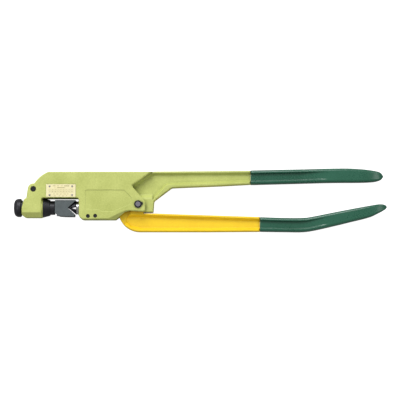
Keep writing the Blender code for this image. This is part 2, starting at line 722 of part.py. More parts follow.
def make_nose_pieces(root, knob, nest, finishes):
    """Knob, its screw, washer, key, the nest's spindle and the cross pin in the nose."""
    make_knob(knob, finishes["black"])
    place_piece(solid_object("knob_set_screw", knob_screw_solid()), knob, finishes["steel"])
    collar_x = SEAT_X + COLLAR_POCKET + GAP
    screw = turned([(KNOB_BACK_X - SCREW_IN_KNOB, SCREW_RADIUS), (collar_x, SCREW_RADIUS),
                    (collar_x, SCREW_COLLAR_RADIUS), (collar_x + SCREW_COLLAR_LENGTH, SCREW_COLLAR_RADIUS),
                    (collar_x + SCREW_COLLAR_LENGTH, SCREW_RADIUS), (SCREW_END_X, SCREW_RADIUS)], sides=32)
    place_piece(solid_object("adjusting_screw", screw), knob, finishes["steel"])
    washer = ring_x(SEAT_X - GAP - WASHER_THICKNESS, SEAT_X - GAP, WASHER_RADIUS, SCREW_RADIUS + 2 * GAP)
    place_piece(solid_object("spring_washer", washer), root, finishes["dark"])
    key = prism([(KEY_X + GAP, DIE_AXIS_Y + SPINDLE_RADIUS - KEY_HEIGHT / 2),
                 (KEY_X + GAP + KEY_LENGTH, DIE_AXIS_Y + SPINDLE_RADIUS - KEY_HEIGHT / 2),
                 (KEY_X + GAP + KEY_LENGTH, key_top()), (KEY_X + GAP, key_top())],
                -KEY_WIDTH / 2, KEY_WIDTH / 2)
    place_piece(solid_object("nest_key", key), root, finishes["steel"])
    make_guide(root, finishes["black"])
    make_spindle(nest, finishes["black"])
    make_nest(nest, finishes["nest"])
    pin = nest_pin_solid(NEST_BOTTOM_Y + 1.0, DIE_AXIS_Y + TENON_RADIUS + 1.5, NEST_PIN_RADIUS)
    place_piece(solid_object("nest_pin", pin), nest, finishes["steel"])
    cross = pin_z(NOSE_PIN, [(-HEAD_HALF, NOSE_PIN_RADIUS - 0.5), (-HEAD_HALF + 0.5, NOSE_PIN_RADIUS),
                             (HEAD_HALF - 0.4, NOSE_PIN_RADIUS), (HEAD_HALF + 0.1, NOSE_PIN_RADIUS - 0.5)])
    place_piece(solid_object("nose_cross_pin", cross), root, finishes["dark"])


def nest_pin_x():
    """Place of the pin that holds the nest on its spindle."""
    return SPINDLE_SHOULDER_X + TENON_LENGTH * 0.55


def make_guide(root, material):
    """Black guide pressed into the nose, which the spindle slides in."""
    face_x = JAW_LEFT_X + BOSS_RISE + GAP
    guide = solid_object("spindle_guide", turned([
        (guide_neck_x(), GUIDE_NECK_RADIUS), (face_x, GUIDE_NECK_RADIUS), (face_x, GUIDE_ROOT_RADIUS),
        (GUIDE_TIP_X - 1.0, GUIDE_TIP_RADIUS + 0.3), (GUIDE_TIP_X, GUIDE_TIP_RADIUS - 0.4)]))
    roof = JAW_ROOF_Y - 2 * GAP
    cut(guide,
        turned([(guide_neck_x() - 3, SPINDLE_RADIUS + GAP), (GUIDE_TIP_X + 3, SPINDLE_RADIUS + GAP)]),
        prism([(face_x - 0.01, roof), (GUIDE_TIP_X + 3, roof), (GUIDE_TIP_X + 3, roof + 9),
               (face_x - 0.01, roof + 9)], -20, 20))
    return place_piece(guide, root, material)


def make_spindle(nest, material):
    """Spindle that slides in the nose and carries the nest."""
    spindle = solid_object("nest_spindle", turned([
        (SPINDLE_LEFT_X, SPINDLE_RADIUS - 0.8), (SPINDLE_LEFT_X + 0.8, SPINDLE_RADIUS),
        (SPINDLE_SHOULDER_X - 0.8, SPINDLE_RADIUS), (SPINDLE_SHOULDER_X, SPINDLE_RADIUS - 0.8),
        (SPINDLE_SHOULDER_X, TENON_RADIUS), (SPINDLE_SHOULDER_X + TENON_LENGTH, TENON_RADIUS)]))
    bore_end = SCREW_END_X + NEST_TRAVEL + 2.0
    keyway_end = KEY_X + KEY_LENGTH + NEST_TRAVEL + 2
    keyway_floor = DIE_AXIS_Y + SPINDLE_RADIUS - KEY_HEIGHT / 2 - GAP
    keyway_roof = DIE_AXIS_Y + SPINDLE_RADIUS + KEY_HEIGHT
    keyway = prism([(SPINDLE_LEFT_X - 5, keyway_floor), (keyway_end, keyway_floor),
                    (keyway_end, keyway_roof), (SPINDLE_LEFT_X - 5, keyway_roof)],
                   -KEY_WIDTH / 2 - GAP, KEY_WIDTH / 2 + GAP)
    cut(spindle,
        turned([(SPINDLE_LEFT_X - 3, SCREW_RADIUS + GAP), (bore_end, SCREW_RADIUS + GAP)], sides=32),
        keyway, nest_pin_hole())
    return place_piece(spindle, nest, material)


def nest_pin_solid(low, high, radius):
    """Round solid along Y through the nest and the spindle's tenon."""
    solid = turned([(low, radius), (high, radius)], axis_y=0, sides=20)
    turn = Matrix.Translation((nest_pin_x(), 0, 0)) @ Matrix.Rotation(math.radians(90), 4, "Z")
    bmesh.ops.transform(solid, matrix=turn, verts=solid.verts)
    return solid


def nest_pin_hole():
    """Hole for the nest's pin, from below."""
    return nest_pin_solid(NEST_BOTTOM_Y - 5, DIE_AXIS_Y + TENON_RADIUS + 1.5 + GAP, NEST_PIN_RADIUS + GAP)


def nest_vee():
    """Sides of the nest's vee, from its upper tip to its lower tip."""
    return [(NEST_FACE_X, NEST_TOP_Y - 0.8), (NEST_VEE_X, DIE_AXIS_Y - 0.4), (NEST_FACE_X - 2.0, -16.8)]


def make_nest(nest, material):
    """Nest die with its vee towards the ram."""
    outline = rounded([(SPINDLE_SHOULDER_X + GAP, NEST_TOP_Y, 1.5), (SPINDLE_SHOULDER_X + GAP, -14.6, 1),
                       (-136.0, -19.8, 5), (-124.0, NEST_BOTTOM_Y, 4),
                       (NEST_FACE_X - 2.4, NEST_BOTTOM_Y, 1),
                       (NEST_FACE_X - 2.0, -16.8), (NEST_VEE_X, DIE_AXIS_Y - 0.4),
                       (NEST_FACE_X, NEST_TOP_Y - 0.8), (NEST_FACE_X - 0.8, NEST_TOP_Y)])
    die = solid_object("nest_die", soften_rims(prism(outline, -NEST_HALF, NEST_HALF), 0.6, 1))
    cut(die,
        turned([(SPINDLE_SHOULDER_X - 3, TENON_RADIUS + GAP),
                (SPINDLE_SHOULDER_X + TENON_LENGTH + GAP, TENON_RADIUS + GAP)], sides=32),
        nest_pin_hole())
    return place_piece(die, nest, material)


# ---- ram and indenter --------------------------------------------------------------------------

def make_ram_pieces(root, ram, finishes):
    """Ram with its rack and tail, the indenter on its end, its bush and the ram pin."""
    pin_x = ram_pin_place()[0]
    body = solid_object("ram", turned([(RAM_FACE_X, RAM_RADIUS - 0.6), (RAM_FACE_X + 0.6, RAM_RADIUS),
                                       (RAM_BLOCK_X, RAM_RADIUS)]))
    neck = prism([(RAM_BLOCK_X - 2, DIE_AXIS_Y - TAIL_HEIGHT / 2), (pin_x, DIE_AXIS_Y - TAIL_HEIGHT / 2)]
                 + arc((pin_x, DIE_AXIS_Y), TAIL_HEIGHT / 2, -75, 75, 10)
                 + [(pin_x, DIE_AXIS_Y + TAIL_HEIGHT / 2), (RAM_BLOCK_X - 2, DIE_AXIS_Y + TAIL_HEIGHT / 2)],
                 -TAIL_HALF, TAIL_HALF)
    add(body, neck)
    low = DIE_AXIS_Y - RAM_RADIUS - 5
    flat = [(RACK_START_X, low), (RAM_BLOCK_X + 4, low), (RAM_BLOCK_X + 4, RACK_FLAT_Y)]
    for tooth in range(TOOTH_COUNT):
        root_x = RACK_START_X + TOOTH_PITCH * (TOOTH_COUNT - tooth)
        flat += [(root_x, RACK_FLAT_Y), (root_x - TOOTH_PITCH / 2, RACK_FLAT_Y + TOOTH_DEPTH)]
    flat.append((RACK_START_X, RACK_FLAT_Y))
    cut(body,
        prism(flat, -20, 20),
        turned([(RAM_FACE_X - 3, INDENTER_TENON_RADIUS + GAP),
                (RAM_FACE_X + INDENTER_TENON_LENGTH + GAP, INDENTER_TENON_RADIUS + GAP)], sides=28),
        pin_z((pin_x, DIE_AXIS_Y), [(-20, LINK_PIN_RADIUS + GAP), (20, LINK_PIN_RADIUS + GAP)]))
    place_piece(body, ram, finishes["bright"])
    make_indenter(ram, finishes)
    reach = TAIL_HALF + GAP + LINK_THICKNESS
    pin = pin_z((pin_x, DIE_AXIS_Y), [(-reach, LINK_PIN_RADIUS - 0.4), (-reach + 0.4, LINK_PIN_RADIUS),
                                      (reach - 0.4, LINK_PIN_RADIUS), (reach, LINK_PIN_RADIUS - 0.4)])
    place_piece(solid_object("ram_pin", pin), ram, finishes["steel"])
    bush = ring_x(JAW_RIGHT_X + 0.4, JAW_RIGHT_X + 0.4 + BUSH_LENGTH, RAM_RADIUS + BUSH_WALL + GAP,
                  RAM_RADIUS + GAP)
    place_piece(solid_object("ram_bush", bush), root, finishes["bronze"])


def indenter_outline(back):
    """Two prongs that fill the nest's vee, with a narrow notch between them."""
    upper, foot, lower = nest_vee()
    slope_up = (upper[1] - foot[1]) / (upper[0] - foot[0])
    slope_down = (lower[1] - foot[1]) / (lower[0] - foot[0])
    side_gap = DIE_CLEARANCE * 1.5
    notch_y = DIE_AXIS_Y - 0.2
    shoulder = INDENTER_NOTCH_X - 0.5
    tip = foot[0] + DIE_CLEARANCE * 2.2
    high = foot[1] + slope_up * (back - foot[0]) - side_gap
    low = foot[1] + slope_down * (back - foot[0]) + side_gap
    return [(back, min(high, DIE_AXIS_Y + INDENTER_RADIUS - 0.2)),
            (shoulder, foot[1] + slope_up * (shoulder - foot[0]) - side_gap),
            (tip, foot[1] + 0.3), (tip, foot[1] - 0.3),
            (shoulder, foot[1] + slope_down * (shoulder - foot[0]) + side_gap),
            (back, max(low, DIE_AXIS_Y - INDENTER_RADIUS + 0.2)),
            (back, notch_y - INDENTER_NOTCH_MOUTH / 2), (INDENTER_NOTCH_X, notch_y),
            (back, notch_y + INDENTER_NOTCH_MOUTH / 2)]


def make_indenter(ram, finishes):
    """Indenter that follows the nest's vee, with its tenon in the ram, and its bright collar."""
    shoulder_x = RAM_FACE_X - GAP - SHOULDER_THICKNESS
    ring = solid_object("indenter_collar", turned([
        (shoulder_x, SHOULDER_RADIUS - 0.5), (shoulder_x + 0.5, SHOULDER_RADIUS),
        (RAM_FACE_X - GAP, SHOULDER_RADIUS)]))
    cut(ring, turned([(shoulder_x - 3, INDENTER_TENON_RADIUS + GAP),
                      (RAM_FACE_X + 3, INDENTER_TENON_RADIUS + GAP)], sides=28))
    place_piece(ring, ram, finishes["bright"])
    back = shoulder_x - GAP
    die = solid_object("indenter", prism(indenter_outline(back), -INDENTER_RADIUS, INDENTER_RADIUS))
    round_bar = turned([(NEST_VEE_X, INDENTER_RADIUS), (back + 1, INDENTER_RADIUS)], sides=48)
    combine(die, "INTERSECT", [round_bar])
    add(die, turned([(back - 0.4, INDENTER_TENON_RADIUS),
                     (RAM_FACE_X + INDENTER_TENON_LENGTH, INDENTER_TENON_RADIUS)], sides=28))
    place_piece(die, ram, finishes["black"])


# ---- handle, links and pivot -------------------------------------------------------------------

def ear_outline():
    """Plate between the links: pivot boss, crank eye and the rounded lower nose."""
    crank_x, crank_y = crank_pin_place()
    reach = NOSE_HUB[1] - BEAM_BOTTOM_Y
    return (arc((0, 0), BOSS_RADIUS, 0, 95, 6) + arc((crank_x, crank_y), LINK_EYE, 95, 205, 6)
            + arc(NOSE_HUB, reach, 199, 270, 12)
            + [(12.0, BEAM_BOTTOM_Y), (12.0, -15.0), (BOSS_RADIUS, -14.9)])


def beam_outline():
    """Moving handle's beam from the ear to the grip."""
    reach = NOSE_HUB[1] - BEAM_BOTTOM_Y
    return ([(LOWER_GRIP_X, -46.0), (LOWER_GRIP_X, -22.2), (25.6, -15.6), (BOSS_RADIUS, -15.0),
             (BOSS_RADIUS, 0), (-BOSS_RADIUS, 0), (-BOSS_RADIUS, -14.5)]
            + arc(NOSE_HUB, reach, 250, 270, 4) + [(120.0, BEAM_BOTTOM_Y)])


def beam_recess():
    """Hollow of the moving handle's I section."""
    return rounded([(-20.0, -22.0, 4), (-21.0, -29.0, 6), (-11.0, -38.4, 10), (5.0, -43.2, 12),
                    (120.0, -43.2), (LOWER_GRIP_X + 5, -42.4), (LOWER_GRIP_X + 5, -26.4), (40.0, -20.2, 6),
                    (-8.0, -18.6, 5)])


def make_handle_pieces(handle, finishes):
    """Moving handle, its grip, its bush and the crank pin."""
    bar = soften_rims(prism(beam_outline(), -FLANGE_HALF, FLANGE_HALF), FLANGE_EDGE, 1)
    arm = solid_object("moving_handle", bar)
    add(arm, prism(ear_outline(), -EAR_HALF, EAR_HALF))
    add(arm, pin_z((0, 0), [(-FLANGE_HALF, BOSS_RADIUS), (FLANGE_HALF, BOSS_RADIUS)], 40))
    add(arm, tang_solid(lower_grip_edges, LOWER_GRIP_X - 6, LOWER_TIP_X - 34, WEB_HALF, GRIP_WALL))
    crank = crank_pin_place()
    bush_radius = PIVOT_PIN_RADIUS + GAP + HANDLE_BUSH_WALL
    for side in (1, -1):
        low, high = sorted((WEB_HALF * side, 30.0 * side))
        cut(arm, prism(beam_recess(), low, high))
    cut(arm,
        pin_z((0, 0), [(-20, bush_radius + GAP), (20, bush_radius + GAP)]),
        pin_z(crank, [(-20, LINK_PIN_RADIUS + GAP), (20, LINK_PIN_RADIUS + GAP)]),
        eye_relief(crank, 1),
        eye_relief(crank, -1))
    place_piece(arm, handle, finishes["yellow"])
    make_grip("moving_handle_grip", lower_grip_edges, LOWER_GRIP_X, LOWER_TIP_X, handle, finishes["grip"])
    bush = ring_z((0, 0), bush_radius, PIVOT_PIN_RADIUS + GAP, -FLANGE_HALF, FLANGE_HALF)
    place_piece(solid_object("handle_bush", bush), handle, finishes["bronze"])
    reach = EAR_HALF + GAP + LINK_THICKNESS
    pin = pin_z(crank, [(-reach, LINK_PIN_RADIUS - 0.4), (-reach + 0.4, LINK_PIN_RADIUS),
                        (reach - 0.4, LINK_PIN_RADIUS), (reach, LINK_PIN_RADIUS - 0.4)])
    place_piece(solid_object("crank_pin", pin), handle, finishes["steel"])


def eye_relief(crank, side):
    """Round relief that the links' eyes swing in, on one side of the ear."""
    radius = LINK_EYE + LINK_PLAY + GAP
    low, high = sorted((EAR_HALF * side, 20.0 * side))
    return pin_z(crank, [(low, radius), (high, radius)], 32)


def make_links(link, finishes):
    """Two link plates between the ram pin and the crank pin."""
    ram_x, ram_y = ram_pin_place()
    crank_x, crank_y = crank_pin_place()
    lean = math.degrees(math.atan2(crank_y - ram_y, crank_x - ram_x))
    outline = (arc((ram_x, ram_y), LINK_EYE, lean + 90, lean + 270, 10)
               + arc((crank_x, crank_y), LINK_EYE, lean - 90, lean + 90, 10))
    for name, side in (("link_front", 1), ("link_back", -1)):
        low, high = sorted(((EAR_HALF + GAP) * side, (EAR_HALF + GAP + LINK_THICKNESS) * side))
        plate = solid_object(name, prism(outline, low, high))
        cut(plate,
            pin_z((ram_x, ram_y), [(-20, LINK_PIN_RADIUS + GAP), (20, LINK_PIN_RADIUS + GAP)]),
            pin_z((crank_x, crank_y), [(-20, LINK_PIN_RADIUS + LINK_PLAY),
                                       (20, LINK_PIN_RADIUS + LINK_PLAY)]))
        place_piece(plate, link, finishes["steel"])


def make_pivot_pieces(root, finishes):
    """Main pivot pin with its retaining ring and the bushes in the two cheeks."""
    ring_low = HEAD_HALF + GAP
    groove = PIVOT_PIN_RADIUS - 0.7
    ring_high = ring_low + RING_THICKNESS
    under_head = -HEAD_HALF + PIVOT_HEAD_HEIGHT
    pin = pin_z((0, 0), [(-HEAD_HALF, PIVOT_HEAD_RADIUS), (under_head, PIVOT_HEAD_RADIUS),
                         (under_head, PIVOT_PIN_RADIUS), (ring_low - GAP, PIVOT_PIN_RADIUS),
                         (ring_low - GAP, groove), (ring_high + GAP, groove),
                         (ring_high + GAP, PIVOT_PIN_RADIUS - 0.1),
                         (ring_high + 1.2, PIVOT_PIN_RADIUS - 0.1),
                         (ring_high + 1.6, PIVOT_PIN_RADIUS - 0.6)], 36)
    place_piece(solid_object("pivot_pin", pin), root, finishes["steel"])
    lug_half = 24.0
    lug_middle = 12.0
    outline = (arc((0, 0), RING_RADIUS, lug_middle + lug_half, lug_middle + 360 - lug_half, 28)
               + arc((0, 0), RING_RADIUS + 2.0, lug_middle - lug_half / 2, lug_middle + lug_half / 2, 1))
    ring = solid_object("pivot_ring", prism(outline, ring_low, ring_high))
    cut(ring, pin_z((0, 0), [(0, groove + GAP), (30, groove + GAP)], 32))
    place_piece(ring, root, finishes["dark"])
    outer = cheek_bush_radius()
    inner = PIVOT_PIN_RADIUS + GAP
    front = ring_z((0, 0), outer, inner, SLOT_HALF, HEAD_HALF)
    place_piece(solid_object("cheek_bush_front", front), root, finishes["bronze"])
    back = ring_z((0, 0), outer, inner, -HEAD_HALF + PIVOT_HEAD_HEIGHT + GAP, -SLOT_HALF)
    place_piece(solid_object("cheek_bush_back", back), root, finishes["bronze"])


# ---- pawl --------------------------------------------------------------------------------------

def small_pin(name, place, root, material):
    """Waisted pin across the cheeks with a dimple in its end."""
    waist = PAWL_POCKET_HALF + 1.0
    pin = solid_object(name, pin_z(place, [
        (-HEAD_HALF, SMALL_PIN_RADIUS - 0.4), (-HEAD_HALF + 0.4, SMALL_PIN_RADIUS),
        (-waist, SMALL_PIN_RADIUS),
        (-waist, SMALL_PIN_WAIST), (waist, SMALL_PIN_WAIST), (waist, SMALL_PIN_RADIUS),
        (HEAD_HALF - 0.4, SMALL_PIN_RADIUS), (HEAD_HALF, SMALL_PIN_RADIUS - 0.4)], 24))
    cut(pin, pin_z(place, [(HEAD_HALF - 0.8, 0.9), (HEAD_HALF + 2, 1.8)], 16))
    place_piece(pin, root, material)


def pawl_spring_solid():
    """Torsion spring around the spring pin, with one leg towards the pawl's tail."""
    route = []
    coil = SMALL_PIN_WAIST + GAP + SPRING_WIRE
    pitch = SPRING_WIRE * 2 + 0.35
    low = -pitch * SPRING_TURNS / 2
    steps = 10
    for step in range(SPRING_TURNS * steps + 1):
        angle = -math.pi / 2 + 2 * math.pi * step / steps
        route.append(Vector((SPRING_PIN[0] + coil * math.cos(angle), SPRING_PIN[1] + coil * math.sin(angle),
                             low + pitch * step / steps)))
    leg_end = PAWL_PIN[0] - PAWL_TAIL - 1.4
    last = route[-1]
    route += [last + Vector((1.4, 0.0, 0.1)), Vector((leg_end, last.y + 0.2, last.z + 0.2))]
    rings = []
    for index, point in enumerate(route):
        ahead = route[min(index + 1, len(route) - 1)] - route[max(index - 1, 0)]
        side = ahead.cross(Vector((0, 0, 1))).normalized()
        up = side.cross(ahead).normalized()
        rings.append([point + SPRING_WIRE * (math.cos(a) * side + math.sin(a) * up)
                      for a in (2 * math.pi * k / 5 for k in range(5))])
    return loft(rings)


def make_pawl_pieces(root, pawl, finishes):
    """Ratchet pawl under the ram, its pin, its spring and the spring's pin."""
    small_pin("pawl_pin", PAWL_PIN, root, finishes["dark"])
    small_pin("spring_pin", SPRING_PIN, root, finishes["dark"])
    place_piece(solid_object("pawl_spring", pawl_spring_solid()), root, finishes["steel"])
    x, y = PAWL_PIN
    shoulder = (x - PAWL_HUB / 2, y + PAWL_HUB * math.sin(math.radians(120)))
    outline = (arc(PAWL_PIN, PAWL_HUB, -150, 60, 12)
               + [(x, y + PAWL_TIP_RISE), shoulder, (x - PAWL_TAIL, y + 0.9), (x - PAWL_TAIL, y - 0.9)])
    body = solid_object("ratchet_pawl", prism(outline, -PAWL_HALF, PAWL_HALF))
    cut(body, pin_z(PAWL_PIN, [(-9, SMALL_PIN_WAIST + GAP), (9, SMALL_PIN_WAIST + GAP)], 20))
    place_piece(body, pawl, finishes["steel"])


# ---- whole tool --------------------------------------------------------------------------------

def make_finishes():
    """One material for each kind of surface."""
    return {
        "green": finish("green_enamel", (0.56, 0.62, 0.22), 0.45, 0.0),
        "yellow": finish("yellow_enamel", (0.93, 0.66, 0.03), 0.42, 0.0),
        "grip": finish("dipped_vinyl", (0.03, 0.14, 0.09), 0.40, 0.0),
        "black": finish("black_oxide", (0.035, 0.035, 0.04), 0.42, 0.6),
        "dark": finish("dark_spring_steel", (0.06, 0.06, 0.065), 0.38, 0.8),
        "nest": finish("grey_die_steel", (0.14, 0.16, 0.17), 0.48, 0.7),
        "steel": finish("pin_steel", (0.36, 0.35, 0.40), 0.35, 0.9),
        "bright": finish("bright_steel", (0.66, 0.66, 0.64), 0.28, 1.0),
        "bronze": finish("bearing_bronze", (0.55, 0.36, 0.14), 0.40, 0.9),
        "plate": finish("printed_plate", (0.93, 0.86, 0.50), 0.40, 0.2),
    }


def main():
    """Build every piece of the tool."""
    clear_scene()
    finishes = make_finishes()
    bench = Frame("bench", (CENTRE_X, CENTRE_Y, BENCH_Z))
    bench.empty.location = (0, 0, 0)
    root = Frame("tool", (0, 0, 0), bench)
    handle = Frame("handle_axis", (0, 0, 0), root)
    ram = Frame("ram_axis", (ram_pin_place()[0], DIE_AXIS_Y, 0), root)
    link = Frame("link_axis", (*ram_pin_place(), 0), ram)
    pawl = Frame("pawl_axis", (*PAWL_PIN, 0), root)
    knob = Frame("knob_axis", (KNOB_BACK_X, DIE_AXIS_Y, 0), root)
    nest = Frame("nest_axis", (SPINDLE_SHOULDER_X, DIE_AXIS_Y, 0), root)
    make_head_frame(root, finishes["green"])
    make_grip("fixed_handle_grip", upper_grip_edges, UPPER_GRIP_X, UPPER_TIP_X, root, finishes["grip"])
    make_name_plate(root, finishes["plate"])
    make_plate_screws(root, finishes["steel"])
    make_nose_pieces(root, knob, nest, finishes)
    make_ram_pieces(root, ram, finishes)
    make_handle_pieces(handle, finishes)
    make_links(link, finishes)
    make_pivot_pieces(root, finishes)
    make_pawl_pieces(root, pawl, finishes)


main()
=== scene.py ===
"""Looks of a long-handled cable lug crimping tool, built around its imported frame.

Every size is in millimetres from the main pivot pin, with X along the tool towards the handle ends,
Y across it towards the fixed handle and Z up through its thickness. The pivot's place and the die
axis come from the frame's joints, so a piece made here lies exactly where the frame has it.
"""
from __future__ import annotations

import json
import logging
import math
from collections.abc import Callable
from dataclasses import dataclass
from enum import Enum

import bmesh
import bpy
from mathutils import Matrix, Vector

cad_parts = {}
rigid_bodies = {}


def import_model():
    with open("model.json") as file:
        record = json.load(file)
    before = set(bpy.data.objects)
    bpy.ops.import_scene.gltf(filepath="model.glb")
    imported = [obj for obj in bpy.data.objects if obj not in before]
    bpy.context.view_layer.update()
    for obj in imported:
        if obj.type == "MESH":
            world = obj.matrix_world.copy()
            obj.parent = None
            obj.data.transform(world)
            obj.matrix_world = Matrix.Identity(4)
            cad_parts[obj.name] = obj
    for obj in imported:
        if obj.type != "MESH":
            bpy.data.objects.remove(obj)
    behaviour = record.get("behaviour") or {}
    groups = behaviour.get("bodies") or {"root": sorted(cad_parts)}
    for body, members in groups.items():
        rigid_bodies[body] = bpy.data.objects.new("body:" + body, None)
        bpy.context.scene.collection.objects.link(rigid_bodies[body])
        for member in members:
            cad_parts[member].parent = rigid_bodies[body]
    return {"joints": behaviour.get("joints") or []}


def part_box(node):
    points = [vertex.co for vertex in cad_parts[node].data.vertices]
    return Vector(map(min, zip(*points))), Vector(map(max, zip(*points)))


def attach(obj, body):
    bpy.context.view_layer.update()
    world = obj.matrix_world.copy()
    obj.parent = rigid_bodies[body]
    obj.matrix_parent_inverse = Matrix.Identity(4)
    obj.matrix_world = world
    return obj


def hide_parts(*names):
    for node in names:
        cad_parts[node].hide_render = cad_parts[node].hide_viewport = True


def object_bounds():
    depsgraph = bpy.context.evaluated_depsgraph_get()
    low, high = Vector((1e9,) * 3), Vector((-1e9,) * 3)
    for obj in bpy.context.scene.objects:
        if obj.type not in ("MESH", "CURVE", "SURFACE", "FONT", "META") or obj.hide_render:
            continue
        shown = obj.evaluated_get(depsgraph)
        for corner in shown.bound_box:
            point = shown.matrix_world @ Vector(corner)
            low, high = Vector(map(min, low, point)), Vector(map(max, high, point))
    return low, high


for startup_object in list(bpy.data.objects):
    bpy.data.objects.remove(startup_object, do_unlink=True)

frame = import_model()
CAD_BOX = [list(corner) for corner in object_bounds()]

LOG = logging.getLogger("crimping_tool")
MM = 0.001
Point = tuple[float, float]
Outline = list[Point]
Colour = tuple[float, float, float]
Corners = list[tuple[float, ...]]
Solid = bmesh.types.BMesh
Socket = bpy.types.NodeSocket
WELD_DISTANCE = 0.002
SMALLEST_RADIUS = 0.02
PLATE_SCREWS = [f"plate_screw_{number}" for number in range(1, 5)]
OVERSHOOT = 6.0
NODE_SPACING = 190
EVEN_SHADING_WEIGHT = 80


def joint_place(name: str) -> Vector:
    """Return a joint's place in the frame, in metres."""
    for joint in frame["joints"]:
        if joint["name"] == name:
            return Vector(joint["pos_m"])
    raise KeyError(name)


PIVOT = joint_place("handle_pivot")
DIE_AXIS_Y = (joint_place("knob_turn") - PIVOT).y / MM


def node_low(name: str) -> Vector:
    """Return a node's lowest corner in millimetres from the pivot."""
    return (Vector(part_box(name)[0]) - PIVOT) / MM


def node_high(name: str) -> Vector:
    """Return a node's highest corner in millimetres from the pivot."""
    return (Vector(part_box(name)[1]) - PIVOT) / MM


def node_middle(name: str) -> Point:
    """Return the X and Y of a node's middle in millimetres from the pivot."""
    low, high = node_low(name), node_high(name)
    return (low.x + high.x) / 2, (low.y + high.y) / 2


# ---- outlines ----------------------------------------------------------------------------------

def arc(centre: Point, radius: float, start: float, end: float, steps: int) -> Outline:
    """Make points along a circle.

    Args:
        centre: Centre of the circle.
        radius: Its radius.
        start: First angle in degrees.
        end: Last angle in degrees.
        steps: Number of even steps between them.

    Returns:
        The points, both ends included.
    """
    angles = [math.radians(start + (end - start) * step / steps) for step in range(steps + 1)]
    return [(centre[0] + radius * math.cos(a), centre[1] + radius * math.sin(a)) for a in angles]


def arc_through(first: Point, last: Point, radius: float, steps: int) -> Outline:
    """Make the arc of a given radius that bulges to the left of the way between two points.

    Args:
        first: Start of the arc.
        last: End of the arc.
        radius: Its radius.
        steps: Number of even steps.

    Returns:
        The points, both ends included.
    """
    chord = Vector(last) - Vector(first)
    middle = (Vector(first) + Vector(last)) / 2
    left = Vector((-chord.y, chord.x)).normalized()
    centre = middle - left * math.sqrt(radius ** 2 - (chord.length / 2) ** 2)
    start = math.degrees(math.atan2(first[1] - centre.y, first[0] - centre.x))
    end = math.degrees(math.atan2(last[1] - centre.y, last[0] - centre.x))
    if end > start:
        end -= 360
    return arc((centre.x, centre.y), radius, start, end, steps)


def rounded(corners: Corners, steps: int = 6) -> Outline:
    """Round the corners of an outline.

    Args:
        corners: Corners as (x, y) or (x, y, radius).
        steps: Steps along each rounded corner.

    Returns:
        The outline's points.
    """
    outline: Outline = []
    count = len(corners)
    for index, corner in enumerate(corners):
        here = Vector(corner[:2])
        radius = corner[2] if len(corner) > 2 else 0.0
        if not radius:
            outline.append((here.x, here.y))
            continue
        before = Vector(corners[index - 1][:2]) - here
        after = Vector(corners[(index + 1) % count][:2]) - here
        half = before.angle(after) / 2
        reach = min(radius / math.tan(half), before.length * 0.49, after.length * 0.49)
        fitted = reach * math.tan(half)
        start = here + before.normalized() * reach
        end = here + after.normalized() * reach
        inward = (before.normalized() + after.normalized()).normalized()
        centre = here + inward * (fitted / math.sin(half))
        first = math.atan2(start.y - centre.y, start.x - centre.x)
        last = math.atan2(end.y - centre.y, end.x - centre.x)
        turn = (last - first + math.pi) % (2 * math.pi) - math.pi
        for step in range(steps + 1):
            angle = first + turn * step / steps
            outline.append((centre.x + fitted * math.cos(angle), centre.y + fitted * math.sin(angle)))
    return outline


def signed_area(outline: Outline) -> float:
    """Return an outline's area, positive when it runs anticlockwise."""
    total = 0.0
    for (x0, y0), (x1, y1) in zip(outline, outline[1:] + outline[:1]):
        total += x0 * y1 - x1 * y0
    return total / 2


def grown(outline: Outline, distance: float) -> Outline:
    """Move an outline's sides outwards by a distance, or inwards where it is negative."""
    turn = 1.0 if signed_area(outline) > 0 else -1.0
    moved: Outline = []
    count = len(outline)
    for index in range(count):
        here = Vector(outline[index])
        ahead = (Vector(outline[(index + 1) % count]) - here).normalized()
        behind = (here - Vector(outline[index - 1])).normalized()
        first = Vector((behind.y, -behind.x)) * turn
        second = Vector((ahead.y, -ahead.x)) * turn
        normal = (first + second).normalized()
        stretch = 1 / max(normal.dot(first), 0.2)
        place = here + normal * distance * stretch
        moved.append((place.x, place.y))
    return moved


def sized(corners: Corners, growth: float, steps: int = 6) -> Outline:
    """Grow a cornered outline and round it, so that every size of it has the same number of points.

    Args:
        corners: Corners as (x, y) or (x, y, radius).
        growth: How far its sides move outwards, or inwards where it is negative.
        steps: Steps along each rounded corner.

    Returns:
        The outline's points.
    """
    sharp = [(corner[0], corner[1]) for corner in corners]
    turn = 1.0 if signed_area(sharp) > 0 else -1.0
    moved: Corners = []
    for index, (x, y) in enumerate(grown(sharp, growth)):
        if len(corners[index]) < 3:
            moved.append((x, y))
            continue
        behind = Vector(sharp[index]) - Vector(sharp[index - 1])
        ahead = Vector(sharp[(index + 1) % len(sharp)]) - Vector(sharp[index])
        outward = 1.0 if behind.cross(ahead) * turn > 0 else -1.0
        moved.append((x, y, max(corners[index][2] + growth * outward, 0.25)))
    return rounded(moved, steps)


def disc(centre: Point, radius: float, sides: int = 48) -> Outline:
    """Return a circle as an outline."""
    return arc(centre, radius, 0, 360 * (sides - 1) / sides, sides - 1)


